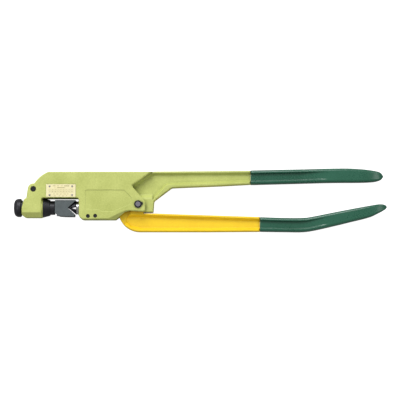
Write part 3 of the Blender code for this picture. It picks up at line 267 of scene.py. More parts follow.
def smooth_value(knots: tuple[Point, ...], x: float) -> float:
    """Read a smooth curve through knots.

    Args:
        knots: Points (x, y) with rising x.
        x: Where to read.

    Returns:
        The curve's height there.
    """
    if x <= knots[0][0]:
        return knots[0][1]
    if x >= knots[-1][0]:
        return knots[-1][1]
    slopes = []
    for index in range(len(knots)):
        low = knots[max(index - 1, 0)]
        high = knots[min(index + 1, len(knots) - 1)]
        slopes.append((high[1] - low[1]) / (high[0] - low[0]))
    index = max(i for i in range(len(knots) - 1) if knots[i][0] <= x)
    (x0, y0), (x1, y1) = knots[index], knots[index + 1]
    width = x1 - x0
    t = (x - x0) / width
    return ((2 * t ** 3 - 3 * t ** 2 + 1) * y0 + (t ** 3 - 2 * t ** 2 + t) * width * slopes[index]
            + (3 * t ** 2 - 2 * t ** 3) * y1 + (t ** 3 - t ** 2) * width * slopes[index + 1])


# ---- solids ------------------------------------------------------------------------------------

def rings_solid(rings: list[list[Vector]]) -> Solid:
    """Skin a row of rings that have the same number of points, and cap both ends.

    Args:
        rings: The rings, in order.

    Returns:
        The closed solid.
    """
    solid = bmesh.new()
    rows = [[solid.verts.new(point) for point in ring] for ring in rings]
    for row, following in zip(rows, rows[1:]):
        for index in range(len(row)):
            after = (index + 1) % len(row)
            solid.faces.new((row[index], row[after], following[after], following[index]))
    solid.faces.new(rows[0])
    solid.faces.new(rows[-1])
    bmesh.ops.recalc_face_normals(solid, faces=solid.faces)
    return solid


def profiled(outline: Outline, profile: list[Point]) -> Solid:
    """Make a solid of an outline whose sides follow a profile.

    Args:
        outline: The outline in X and Y.
        profile: Steps (z, growth) from bottom to top.

    Returns:
        The closed solid.
    """
    rings = [[Vector((x, y, z)) for x, y in (grown(outline, growth) if growth else outline)]
             for z, growth in profile]
    return rings_solid(rings)


def moulded(corners: Corners, profile: list[Point], steps: int = 6) -> Solid:
    """Make a solid of a cornered outline whose sides follow a profile.

    Args:
        corners: Corners as (x, y) or (x, y, radius).
        profile: Steps (z, growth) from bottom to top.
        steps: Steps along each rounded corner.

    Returns:
        The closed solid.
    """
    return rings_solid([[Vector((x, y, z)) for x, y in sized(corners, growth, steps)]
                        for z, growth in profile])


def quarter_turn(steps: int, first: int = 0) -> list[float]:
    """Return even angles over a quarter of a turn, in radians, from one of the steps on."""
    return [math.pi / 2 * step / steps for step in range(first, steps + 1)]


def rims(low: float, high: float, across: float, down: float, steps: int = 5) -> list[Point]:
    """Make the profile of a plate with rounded rims at the top and bottom.

    Args:
        low: Height of the lower face.
        high: Height of the upper face.
        across: How far the rounding reaches in from the sides.
        down: How far it reaches along them.
        steps: Steps of each rounding.

    Returns:
        Steps (z, growth) from bottom to top.
    """
    rise = [(down * (1 - math.cos(a)), -across * (1 - math.sin(a))) for a in quarter_turn(steps)]
    return ([(low + z, growth) for z, growth in rise]
            + [(high - z, growth) for z, growth in reversed(rise)])


def sloped_hollow(low: float, high: float, slope: float, lip: float) -> list[Point]:
    """Return the profile of a hollow's cutter: a sloped wall with a rounded foot and a rounded mouth."""
    foot = [(low, -slope - 0.9), (low + 0.35, -slope - 0.25), (low + 1.0, -slope * 0.85)]
    mouth = [(high - lip, -slope * 0.12), (high - lip * 0.35, lip * 0.15), (high, lip * 0.6)]
    return foot + mouth + [(high + 2 * OVERSHOOT, lip * 0.62)]


def mirrored(solid: Solid) -> Solid:
    """Turn a solid over to the other side of the middle plane."""
    bmesh.ops.scale(solid, vec=(1, 1, -1), verts=solid.verts)
    bmesh.ops.reverse_faces(solid, faces=solid.faces)
    return solid


def both_sides(make: Callable[[], Solid]) -> list[Solid]:
    """Make a solid and its mirror image on the other side of the middle plane."""
    return [make(), mirrored(make())]


def edge_cutter(start: Point, end: Point, half: float, width: float, depth: float) -> Solid:
    """Return a cutter that rounds the upper rim along one side of a plate.

    Args:
        start: One end of the side; the plate lies to the left of the way to the other end.
        end: The other end.
        half: Height of the plate's face.
        width: How far the rounding reaches in from the side.
        depth: How far it reaches down.

    Returns:
        The closed solid.
    """
    way = (Vector(end) - Vector(start)).normalized()
    inward = Vector((-way.y, way.x))
    section = [(width, half + 0.01)]
    section += [(width * (1 - math.sin(a)), half - depth * (1 - math.cos(a)))
                for a in quarter_turn(6, 1)]
    outside, above = -8.0, half + OVERSHOOT
    section += [(outside, half - depth), (outside, above), (width, above)]
    return rings_solid([[Vector((*(point + inward * across), height)) for across, height in section]
                        for point in (Vector(start), Vector(end))])


def flared(low: float, high: float, lip: float, steps: int = 3) -> list[Point]:
    """Return the profile of a cutter whose mouth, at its top, is rounded outwards by a lip."""
    foot = high - lip
    rise = [(foot + lip * math.sin(a), lip * (1 - math.cos(a))) for a in quarter_turn(steps, 1)]
    return [(low, 0.0), (foot, 0.0), *rise, (high + OVERSHOOT, lip * 1.02)]


def turned(profile: list[Point], sides: int = 64, centre: Point = (0.0, 0.0)) -> Solid:
    """Turn a profile about a line along X.

    Args:
        profile: Steps (x, radius) from one end to the other.
        sides: Number of sides.
        centre: Y and Z of the line.

    Returns:
        The closed solid.
    """
    angles = [2 * math.pi * side / sides for side in range(sides)]
    rings = []
    for x, size in profile:
        radius = max(size, SMALLEST_RADIUS)
        rings.append([Vector((x, centre[0] + radius * math.cos(a), centre[1] + radius * math.sin(a)))
                      for a in angles])
    return rings_solid(rings)


def crosswise(x: float, profile: list[Point], sides: int) -> Solid:
    """Turn a profile (y, radius) about a line along Y at a place along X."""
    solid = turned(profile, sides)
    lay = Matrix.Translation((x, 0, 0)) @ Matrix.Rotation(math.radians(90), 4, "Z")
    bmesh.ops.transform(solid, matrix=lay, verts=solid.verts)
    return solid


def upright(centre: Point, profile: list[Point], sides: int = 48) -> Solid:
    """Turn a profile (z, radius) about a line along Z at a centre."""
    return rings_solid([[Vector((x, y, z)) for x, y in disc(centre, max(radius, SMALLEST_RADIUS), sides)]
                        for z, radius in profile])


def box(low: tuple[float, float, float], high: tuple[float, float, float]) -> Solid:
    """Return a plain block between two corners."""
    return profiled([(low[0], low[1]), (high[0], low[1]), (high[0], high[1]), (low[0], high[1])],
                    [(low[2], 0.0), (high[2], 0.0)])


def joined(solids: list[Solid]) -> Solid:
    """Put several loose solids into one mesh, without cutting them."""
    whole = bmesh.new()
    for solid in solids:
        mesh = bpy.data.meshes.new("part")
        solid.to_mesh(mesh)
        solid.free()
        whole.from_mesh(mesh)
        bpy.data.meshes.remove(mesh)
    return whole


def add_object(name: str, data: bpy.types.ID) -> bpy.types.Object:
    """Put a mesh, a light or a camera into the scene."""
    made = bpy.data.objects.new(name, data)
    bpy.context.collection.objects.link(made)
    return made


def as_object(name: str, solid: Solid) -> bpy.types.Object:
    """Put a solid into the scene as it is and free it."""
    mesh = bpy.data.meshes.new(name)
    solid.to_mesh(mesh)
    solid.free()
    return add_object(name, mesh)


class Cut(Enum):
    """What a tool solid does to a piece."""

    AWAY = "DIFFERENCE"
    ADD = "UNION"


def shape(piece: bpy.types.Object, action: Cut, solids: list[Solid]) -> None:
    """Cut solids from a piece, or add them to it.

    Args:
        piece: The piece to shape.
        action: Whether the solids are cut away or added.
        solids: The tool solids, which are used up.
    """
    for solid in solids:
        tool = as_object("tool_solid", solid)
        modifier = piece.modifiers.new("shape", "BOOLEAN")
        modifier.operation = action.value
        modifier.object = tool
        modifier.solver = "EXACT"
        bpy.context.view_layer.update()
        evaluated = piece.evaluated_get(bpy.context.evaluated_depsgraph_get())
        shaped = bpy.data.meshes.new_from_object(evaluated)
        piece.modifiers.clear()
        weld(shaped, WELD_DISTANCE)
        previous = piece.data
        piece.data = shaped
        bpy.data.meshes.remove(previous)
        bpy.data.objects.remove(tool, do_unlink=True)


def weld(mesh: bpy.types.Mesh, distance: float) -> None:
    """Join points closer than a distance and drop the slivers between them."""
    solid = bmesh.new()
    solid.from_mesh(mesh)
    bmesh.ops.remove_doubles(solid, verts=solid.verts, dist=distance)
    bmesh.ops.dissolve_degenerate(solid, dist=distance, edges=solid.edges)
    bmesh.ops.recalc_face_normals(solid, faces=solid.faces)
    solid.to_mesh(mesh)
    solid.free()


def dress(piece: bpy.types.Object, material: bpy.types.Material) -> None:
    """Give a piece one finish."""
    piece.data.materials.clear()
    piece.data.materials.append(material)


def place(piece: bpy.types.Object, material: bpy.types.Material, body: str, slot: str,
          nodes: tuple[str, ...] = (), sharp: float = 34.0) -> None:
    """Dress a finished piece, move it into the frame and let it ride on its body.

    Args:
        piece: The piece, in millimetres from the pivot.
        material: Its finish.
        body: The frame's body that it moves with.
        slot: Not used.
        nodes: The frame's nodes that it stands for.
        sharp: Angle in degrees past which an edge stays sharp.
    """
    dress(piece, material)
    piece.data.transform(Matrix.Translation(PIVOT) @ Matrix.Scale(MM, 4))
    piece.data.shade_smooth()
    piece.data.set_sharp_from_angle(angle=math.radians(sharp))
    even = piece.modifiers.new("even_shading", "WEIGHTED_NORMAL")
    even.keep_sharp = True
    even.weight = EVEN_SHADING_WEIGHT
    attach(piece, body)
    if nodes:
        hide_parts(*nodes)
    LOG.info("%s rides on %s", piece.name, body)


# ---- shader groups -----------------------------------------------------------------------------

class Wiring:
    """Short calls for adding and linking the nodes of one node tree."""

    def __init__(self, tree: bpy.types.NodeTree) -> None:
        """Keep the tree that the nodes go into."""
        self.tree = tree
        self.column = 0

    def node(self, kind: str, **values: object) -> bpy.types.Node:
        """Add a node.

        Args:
            kind: The node's type name.
            **values: Properties, or inputs where the name starts with in_.

        Returns:
            The new node.
        """
        made = self.tree.nodes.new(kind)
        made.location = (self.column * NODE_SPACING, 0)
        self.column += 1
        for name, value in values.items():
            if name.startswith("in_"):
                key = name[3:].replace("_", " ")
                socket = made.inputs[int(key)] if key.isdigit() else made.inputs[key]
                self.feed(socket, value)
            else:
                setattr(made, name, value)
        return made

    def feed(self, socket: Socket, value: object) -> None:
        """Link an output to a socket, or set the socket to a plain value."""
        if isinstance(value, Socket):
            self.tree.links.new(value, socket)
        else:
            socket.default_value = value

    def noise(self, spot: Socket, scale: object, detail: float, roughness: float = 0.5) -> bpy.types.Node:
        """Add a noise texture that is read at a spot."""
        return self.node("ShaderNodeTexNoise", in_Vector=spot, in_Scale=scale, in_Detail=detail,
                         in_Roughness=roughness)

    def maths(self, operation: str, first: object, second: object = 0.0, clamp: bool = False
              ) -> Socket:
        """Add a maths node and return its result."""
        made = self.node("ShaderNodeMath", operation=operation, use_clamp=clamp, in_0=first, in_1=second)
        return made.outputs[0]

    def ramp(self, value: Socket, low: object, high: object, start: float = 0.0,
             end: float = 1.0) -> Socket:
        """Map a value's range start to low and end to high, clamped."""
        made = self.node("ShaderNodeMapRange", clamp=True)
        for socket, number in (("Value", value), ("From Min", low), ("From Max", high),
                               ("To Min", start), ("To Max", end)):
            self.feed(made.inputs[socket], number)
        return made.outputs["Result"]

    def blend(self, factor: object, first: object, second: object) -> Socket:
        """Mix two colours."""
        made = self.node("ShaderNodeMix", data_type="RGBA", clamp_factor=True)
        for index, value in ((0, factor), (6, first), (7, second)):
            self.feed(made.inputs[index], (*value, 1.0) if isinstance(value, tuple) else value)
        return made.outputs[2]


def new_group(name: str, inputs: dict[str, float], outputs: tuple[str, ...]
              ) -> tuple[bpy.types.NodeTree, Wiring, bpy.types.Node, bpy.types.Node]:
    """Start a shader node group with number inputs and outputs.

    Args:
        name: The group's name.
        inputs: Input names and their default values.
        outputs: Output names.

    Returns:
        The group, its wiring, its input node and its output node.
    """
    group = bpy.data.node_groups.new(name, "ShaderNodeTree")
    for label, value in inputs.items():
        socket = group.interface.new_socket(label, in_out="INPUT", socket_type="NodeSocketFloat")
        socket.default_value = value
    for label in outputs:
        group.interface.new_socket(label, in_out="OUTPUT", socket_type="NodeSocketFloat")
    wiring = Wiring(group)
    start = wiring.node("NodeGroupInput")
    end = wiring.node("NodeGroupOutput")
    return group, wiring, start, end


class Effects:
    """The surface effects that several finishes share, each a node group made once."""

    def __init__(self) -> None:
        """Build every group."""
        self.edge_wear_and_highlight = self._edge_wear_and_highlight()
        self.cast_grain = self._cast_grain()
        self.painted_crevice_shade = self._painted_crevice_shade()
        self.brushing = self._brushing()
        self.scuffs = self._scuffs()

    @staticmethod
    def _edge_wear_and_highlight() -> bpy.types.NodeTree:
        """Return the group that finds outer edges and breaks them up, for edge wear and for painted
        highlights along rims.
        """
        group, wiring, start, end = new_group(
            "edge_wear_and_highlight", {"Width": 0.0006, "Break Up": 90.0, "Amount": 0.5}, ("Mask",))
        soft = wiring.node("ShaderNodeBevel", samples=6, in_Radius=start.outputs["Width"])
        geometry = wiring.node("ShaderNodeNewGeometry")
        facing = wiring.node("ShaderNodeVectorMath", operation="DOT_PRODUCT", in_0=soft.outputs["Normal"],
                             in_1=geometry.outputs["Normal"])
        bend = wiring.maths("SUBTRACT", 1.0, facing.outputs["Value"])
        edge = wiring.ramp(bend, 0.015, 0.16)
        spot = wiring.node("ShaderNodeTexCoord").outputs["Object"]
        noise = wiring.noise(spot, start.outputs["Break Up"], 5.0, 0.62)
        threshold = wiring.maths("SUBTRACT", 1.0, start.outputs["Amount"])
        broken = wiring.ramp(noise.outputs["Fac"], wiring.maths("MULTIPLY", threshold, 0.62), 0.72)
        mask = wiring.maths("MULTIPLY", edge, broken, clamp=True)
        group.links.new(mask, end.inputs["Mask"])
        return group

    @staticmethod
    def _cast_grain() -> bpy.types.NodeTree:
        """Return the group for the pebbled skin of a painted casting."""
        group, wiring, start, end = new_group("cast_grain", {"Scale": 900.0, "Patch Scale": 26.0},
                                              ("Height", "Tone"))
        spot = wiring.node("ShaderNodeTexCoord").outputs["Object"]
        fine = wiring.noise(spot, start.outputs["Scale"], 3.0, 0.55)
        coarse = wiring.noise(spot, wiring.maths("MULTIPLY", start.outputs["Scale"], 0.22), 2.0)
        patch = wiring.noise(spot, start.outputs["Patch Scale"], 4.0, 0.6)
        height = wiring.maths("ADD", wiring.maths("MULTIPLY", fine.outputs["Fac"], 0.6),
                              wiring.maths("MULTIPLY", coarse.outputs["Fac"], 0.9))
        speckle = wiring.maths("MULTIPLY", fine.outputs["Fac"], 0.45)
        tone = wiring.maths("ADD", speckle, wiring.maths("MULTIPLY", patch.outputs["Fac"], 0.55))
        group.links.new(height, end.inputs["Height"])
        group.links.new(wiring.ramp(tone, 0.3, 0.7), end.inputs["Tone"])
        return group

    @staticmethod
    def _painted_crevice_shade() -> bpy.types.NodeTree:
        """Return the group that finds inner corners and recesses, where painted shade goes."""
        group, wiring, start, end = new_group("painted_crevice_shade", {"Reach": 0.004, "Amount": 1.0}, ("Mask",))
        hidden = wiring.node("ShaderNodeAmbientOcclusion", samples=8, in_Distance=start.outputs["Reach"])
        depth = wiring.maths("SUBTRACT", 1.0, hidden.outputs["AO"])
        spot = wiring.node("ShaderNodeTexCoord").outputs["Object"]
        uneven = wiring.ramp(wiring.noise(spot, 160.0, 4.0).outputs["Fac"], 0.25, 0.75, 0.7, 1.15)
        mask = wiring.maths("MULTIPLY", wiring.maths("MULTIPLY", depth, uneven), start.outputs["Amount"],
                            clamp=True)
        group.links.new(mask, end.inputs["Mask"])
        return group

    @staticmethod
    def _brushing() -> bpy.types.NodeTree:
        """Return the group for fine lines that a lathe or grinder leaves."""
        group, wiring, start, end = new_group("brushing", {"Along": 60.0, "Across": 2600.0},
                                              ("Height", "Tone"))
        spot = wiring.node("ShaderNodeTexCoord").outputs["Object"]
        split = wiring.node("ShaderNodeSeparateXYZ", in_Vector=spot)
        stretched = wiring.node("ShaderNodeCombineXYZ",
                                in_X=wiring.maths("MULTIPLY", split.outputs["X"], start.outputs["Across"]),
                                in_Y=wiring.maths("MULTIPLY", split.outputs["Y"], start.outputs["Along"]),
                                in_Z=wiring.maths("MULTIPLY", split.outputs["Z"], start.outputs["Along"]))
        lines = wiring.noise(stretched.outputs["Vector"], 1.0, 4.0, 0.7)
        stains = wiring.noise(spot, 140.0, 5.0)
        tone = wiring.maths("ADD", wiring.maths("MULTIPLY", lines.outputs["Fac"], 0.5),
                            wiring.maths("MULTIPLY", stains.outputs["Fac"], 0.5))
        group.links.new(lines.outputs["Fac"], end.inputs["Height"])
        group.links.new(wiring.ramp(tone, 0.32, 0.68), end.inputs["Tone"])
        return group

    @staticmethod
    def _scuffs() -> bpy.types.NodeTree:
        """Return the group for thin scratches and rubbed spots from handling."""
        group, wiring, start, end = new_group("scuffs", {"Scale": 45.0, "Amount": 0.4}, ("Mask",))
        spot = wiring.node("ShaderNodeTexCoord").outputs["Object"]
        bent = wiring.noise(spot, wiring.maths("MULTIPLY", start.outputs["Scale"], 0.5), 2.0)
        moved = wiring.node("ShaderNodeVectorMath", operation="ADD", in_0=spot, in_1=bent.outputs["Color"])
        cells = wiring.node("ShaderNodeTexVoronoi", feature="DISTANCE_TO_EDGE", in_Vector=moved.outputs[0],
                            in_Scale=start.outputs["Scale"])
        line = wiring.ramp(cells.outputs["Distance"], 0.0, 0.018, 1.0, 0.0)
        where = wiring.noise(spot, wiring.maths("MULTIPLY", start.outputs["Scale"], 1.3), 3.0)
        allowed = wiring.ramp(where.outputs["Fac"], 0.56, 0.7)
        mask = wiring.maths("MULTIPLY", wiring.maths("MULTIPLY", line, allowed), start.outputs["Amount"],
                            clamp=True)
        group.links.new(mask, end.inputs["Mask"])
        return group


# ---- finishes ----------------------------------------------------------------------------------

def placed_group(wiring: Wiring, group: bpy.types.NodeTree, **values: object) -> bpy.types.Node:
    """Place a shared group in a material with its own values."""
    return wiring.node("ShaderNodeGroup", node_tree=group,
                       **{f"in_{name}": value for name, value in values.items()})


def new_material(name: str) -> tuple[bpy.types.Material, Wiring, bpy.types.Node]:
    """Start a material.

    Args:
        name: The material's name.

    Returns:
        The material, its wiring and its Principled shader.
    """
    material = bpy.data.materials.new(name)
    material.use_nodes = True
    shader = material.node_tree.nodes["Principled BSDF"]
    shader.location = (3200, 0)
    material.node_tree.nodes["Material Output"].location = (3500, 0)
    return material, Wiring(material.node_tree), shader


def surface(wiring: Wiring, shader: bpy.types.Node, colour: Socket, rough: object,
            relief: tuple[Socket, float, float], **plain: float) -> None:
    """Feed a shader.

    Args:
        wiring: The material's wiring.
        shader: Its Principled shader.
        colour: Its colour.
        rough: Its roughness, an output or a number.
        relief: The height of its relief, the relief's depth in metres and its strength.
        **plain: Other inputs that take a number, with _ for a space.
    """
    height, depth, strength = relief
    raised = wiring.node("ShaderNodeBump", in_Height=height, in_Distance=depth, in_Strength=strength)
    values = {"Base Color": colour, "Roughness": rough, "Normal": raised.outputs["Normal"]}
    values.update({name.replace("_", " "): value for name, value in plain.items()})
    for name, value in values.items():
        wiring.feed(shader.inputs[name], value)


@dataclass(frozen=True)
class Enamel:
    """Paint over a casting or a forging, with painted shade in its inner corners and a painted highlight
    along its outer edges.
    """

    name: str
    base: Colour
    mottle: Colour
    shade: Colour
    # edge: lighter colour painted along outer edges as a highlight
    edge: Colour
    grain_scale: float = 900.0
    grain_depth: float = 0.00012
    roughness: Point = (0.46, 0.62)
    wear_and_highlight_width: float = 0.0008
    wear_and_highlight: float = 0.5
    shade_reach: float = 0.004
    shade_amount: float = 1.0
    coat: float = 0.08

    def build(self, effects: Effects) -> bpy.types.Material:
        """Return the paint's material."""
        material, wiring, shader = new_material(self.name)
        grain = placed_group(wiring, effects.cast_grain, Scale=self.grain_scale)
        wear_and_highlight = placed_group(wiring, effects.edge_wear_and_highlight, Width=self.wear_and_highlight_width, Amount=self.wear_and_highlight)
        corner = placed_group(wiring, effects.painted_crevice_shade, Reach=self.shade_reach, Amount=self.shade_amount)
        scuff = placed_group(wiring, effects.scuffs, Scale=38.0, Amount=0.35)
        colour = wiring.blend(grain.outputs["Tone"], self.mottle, self.base)
        # painted shade: inner corners and recess walls take the dark shade colour
        colour = wiring.blend(corner.outputs["Mask"], colour, self.shade)
        # painted highlight: outer edges and rims take the lighter edge colour
        colour = wiring.blend(wear_and_highlight.outputs["Mask"], colour, self.edge)
        colour = wiring.blend(scuff.outputs["Mask"], colour, self.mottle)
        rough = wiring.ramp(grain.outputs["Tone"], 0.0, 1.0, *self.roughness)
        surface(wiring, shader, colour, rough, (grain.outputs["Height"], self.grain_depth, 0.55),
                Coat_Weight=self.coat, Coat_Roughness=0.22)
        return material


@dataclass(frozen=True)
class Steel:
    """Bare, blackened or plated steel, and bronze."""

    name: str
    base: Colour
    # dark: darker tone of the brushing, and also the painted shade in inner corners
    dark: Colour
    edge: Colour
    metallic: float = 0.9
    roughness: Point = (0.26, 0.46)
    along: float = 60.0
    across: float = 2600.0
    wear_and_highlight_width: float = 0.0004
    wear_and_highlight: float = 0.5
    depth: float = 0.00003

    def build(self, effects: Effects) -> bpy.types.Material:
        """Return the metal's material."""
        material, wiring, shader = new_material(self.name)
        lines = placed_group(wiring, effects.brushing, Along=self.along, Across=self.across)
        wear_and_highlight = placed_group(wiring, effects.edge_wear_and_highlight, Width=self.wear_and_highlight_width, Amount=self.wear_and_highlight)
        corner = placed_group(wiring, effects.painted_crevice_shade, Reach=0.0025, Amount=0.8)
        colour = wiring.blend(lines.outputs["Tone"], self.dark, self.base)
        # painted shade: inner corners take the dark colour
        colour = wiring.blend(corner.outputs["Mask"], colour, self.dark)
        # lighter outer edges: wear, and a painted highlight
        colour = wiring.blend(wear_and_highlight.outputs["Mask"], colour, self.edge)
        rough = wiring.ramp(lines.outputs["Tone"], 0.0, 1.0, self.roughness[1], self.roughness[0])
        surface(wiring, shader, colour, rough, (lines.outputs["Height"], self.depth, 0.5),
                Metallic=self.metallic)
        return material


@dataclass(frozen=True)
class Vinyl:
    """Soft dipped vinyl of the grips."""

    name: str
    base: Colour
    light: Colour
    shade: Colour
    roughness: Point = (0.22, 0.34)

    def build(self, effects: Effects) -> bpy.types.Material:
        """Return the vinyl's material."""
        material, wiring, shader = new_material(self.name)
        skin = placed_group(wiring, effects.cast_grain, Scale=520.0, Patch_Scale=14.0)
        corner = placed_group(wiring, effects.painted_crevice_shade, Reach=0.006, Amount=0.9)
        rub = placed_group(wiring, effects.edge_wear_and_highlight, Width=0.0025, Amount=0.55)
        scuff = placed_group(wiring, effects.scuffs, Scale=30.0, Amount=0.3)
        colour = wiring.blend(skin.outputs["Tone"], self.base, self.light)
        # painted shade: inner corners take the dark shade colour
        colour = wiring.blend(corner.outputs["Mask"], colour, self.shade)
        faint = wiring.maths("MULTIPLY", rub.outputs["Mask"], 0.35)
        colour = wiring.blend(faint, colour, self.light)
        colour = wiring.blend(scuff.outputs["Mask"], colour, self.light)
        rough = wiring.ramp(skin.outputs["Tone"], 0.0, 1.0, *self.roughness)
        surface(wiring, shader, colour, rough, (skin.outputs["Height"], 0.0002, 0.45),
                Coat_Weight=0.4, Coat_Roughness=0.18)
        return material


@dataclass(frozen=True)
class PaleFloor:
    """Studio paper that shows nearly white however the light falls on it."""

    name: str
    base: Colour
    mottle: Colour
    glow: float

    def build(self, effects: Effects) -> bpy.types.Material:
        """Return the paper's material."""
        material, wiring, shader = new_material(self.name)
        grain = placed_group(wiring, effects.cast_grain, Scale=300.0, Patch_Scale=3.0)
        colour = wiring.blend(grain.outputs["Tone"], self.mottle, self.base)
        seen = wiring.node("ShaderNodeLightPath")
        glow = wiring.maths("MULTIPLY", seen.outputs["Is Camera Ray"], self.glow)
        surface(wiring, shader, colour, 0.7, (grain.outputs["Height"], 0.00002, 0.3), Emission_Color=glow,
                Emission_Strength=1.0)
        return material


class Shop:
    """Every finish of the tool, made once."""

    def __init__(self) -> None:
        """Build the finishes."""
        effects = Effects()
        # the green's bright edge colour over a wide edge mask is a painted highlight along its rims
        self.green = Enamel("green_enamel", base=(0.61, 0.66, 0.20), mottle=(0.43, 0.48, 0.11),
                            shade=(0.10, 0.13, 0.004), edge=(0.80, 0.87, 0.33), grain_scale=430.0,
                            shade_reach=0.006, wear_and_highlight_width=0.0013, wear_and_highlight=0.85).build(effects)
        self.yellow = Enamel("yellow_enamel", base=(1.0, 0.70, 0.012), mottle=(0.90, 0.58, 0.006),
                             shade=(0.50, 0.20, 0.001), edge=(1.0, 0.80, 0.10), grain_scale=430.0,
                             shade_reach=0.006).build(effects)
        self.vinyl = Vinyl("dipped_vinyl", base=(0.010, 0.088, 0.048), light=(0.022, 0.135, 0.080),
                           shade=(0.002, 0.026, 0.013)).build(effects)
        self.black = Steel("black_oxide", base=(0.040, 0.040, 0.046), dark=(0.016, 0.016, 0.02),
                           edge=(0.16, 0.16, 0.17), metallic=0.55, roughness=(0.34, 0.5)).build(effects)
        self.dark = Steel("dark_spring_steel", base=(0.06, 0.06, 0.066), dark=(0.02, 0.02, 0.022),
                          edge=(0.26, 0.26, 0.28), metallic=0.8).build(effects)
        self.nest = Steel("grey_die_steel", base=(0.13, 0.155, 0.16), dark=(0.085, 0.10, 0.105),
                          edge=(0.40, 0.43, 0.45), metallic=0.45, roughness=(0.42, 0.6), along=500.0,
                          across=900.0, depth=0.00006).build(effects)
        self.pin = Steel("pin_steel", base=(0.40, 0.38, 0.44), dark=(0.22, 0.21, 0.25),
                         edge=(0.7, 0.7, 0.74), metallic=0.85).build(effects)
        self.bright = Steel("bright_steel", base=(0.72, 0.72, 0.70), dark=(0.46, 0.46, 0.45),
                            edge=(0.9, 0.9, 0.9), metallic=0.95, roughness=(0.2, 0.36)).build(effects)
        self.bronze = Steel("bearing_bronze", base=(0.58, 0.38, 0.16), dark=(0.34, 0.2, 0.07),
                            edge=(0.8, 0.6, 0.3), metallic=0.95).build(effects)
        self.plate = Enamel("printed_plate", base=(0.94, 0.88, 0.56), mottle=(0.88, 0.79, 0.44),
                            shade=(0.48, 0.42, 0.16), edge=(1.0, 0.97, 0.75), grain_scale=1500.0,
                            grain_depth=0.00002, roughness=(0.3, 0.4), wear_and_highlight=0.3,
                            shade_reach=0.0012).build(effects)
        self.ink = Enamel("plate_ink", base=(0.22, 0.20, 0.05), mottle=(0.36, 0.32, 0.12),
                          shade=(0.1, 0.09, 0.02), edge=(0.5, 0.46, 0.2), grain_scale=2200.0,
                          grain_depth=0.00001, roughness=(0.4, 0.5), wear_and_highlight=0.2).build(effects)
        self.floor = PaleFloor("pale_floor", base=(0.42, 0.42, 0.42), mottle=(0.40, 0.40, 0.40),
                               glow=0.95).build(effects)


def dress_node(name: str, material: bpy.types.Material) -> None:
    """Give a node of the frame a finish through its material slot."""
    node = bpy.data.objects[name]
    for index in range(max(1, len(node.material_slots))):
        if len(node.material_slots) <= index:
            node.data.materials.append(material)
        node.material_slots[index].material = material
    LOG.info("%s keeps its shape from the frame", name)


# ---- cast head with the fixed handle -----------------------------------------------------------

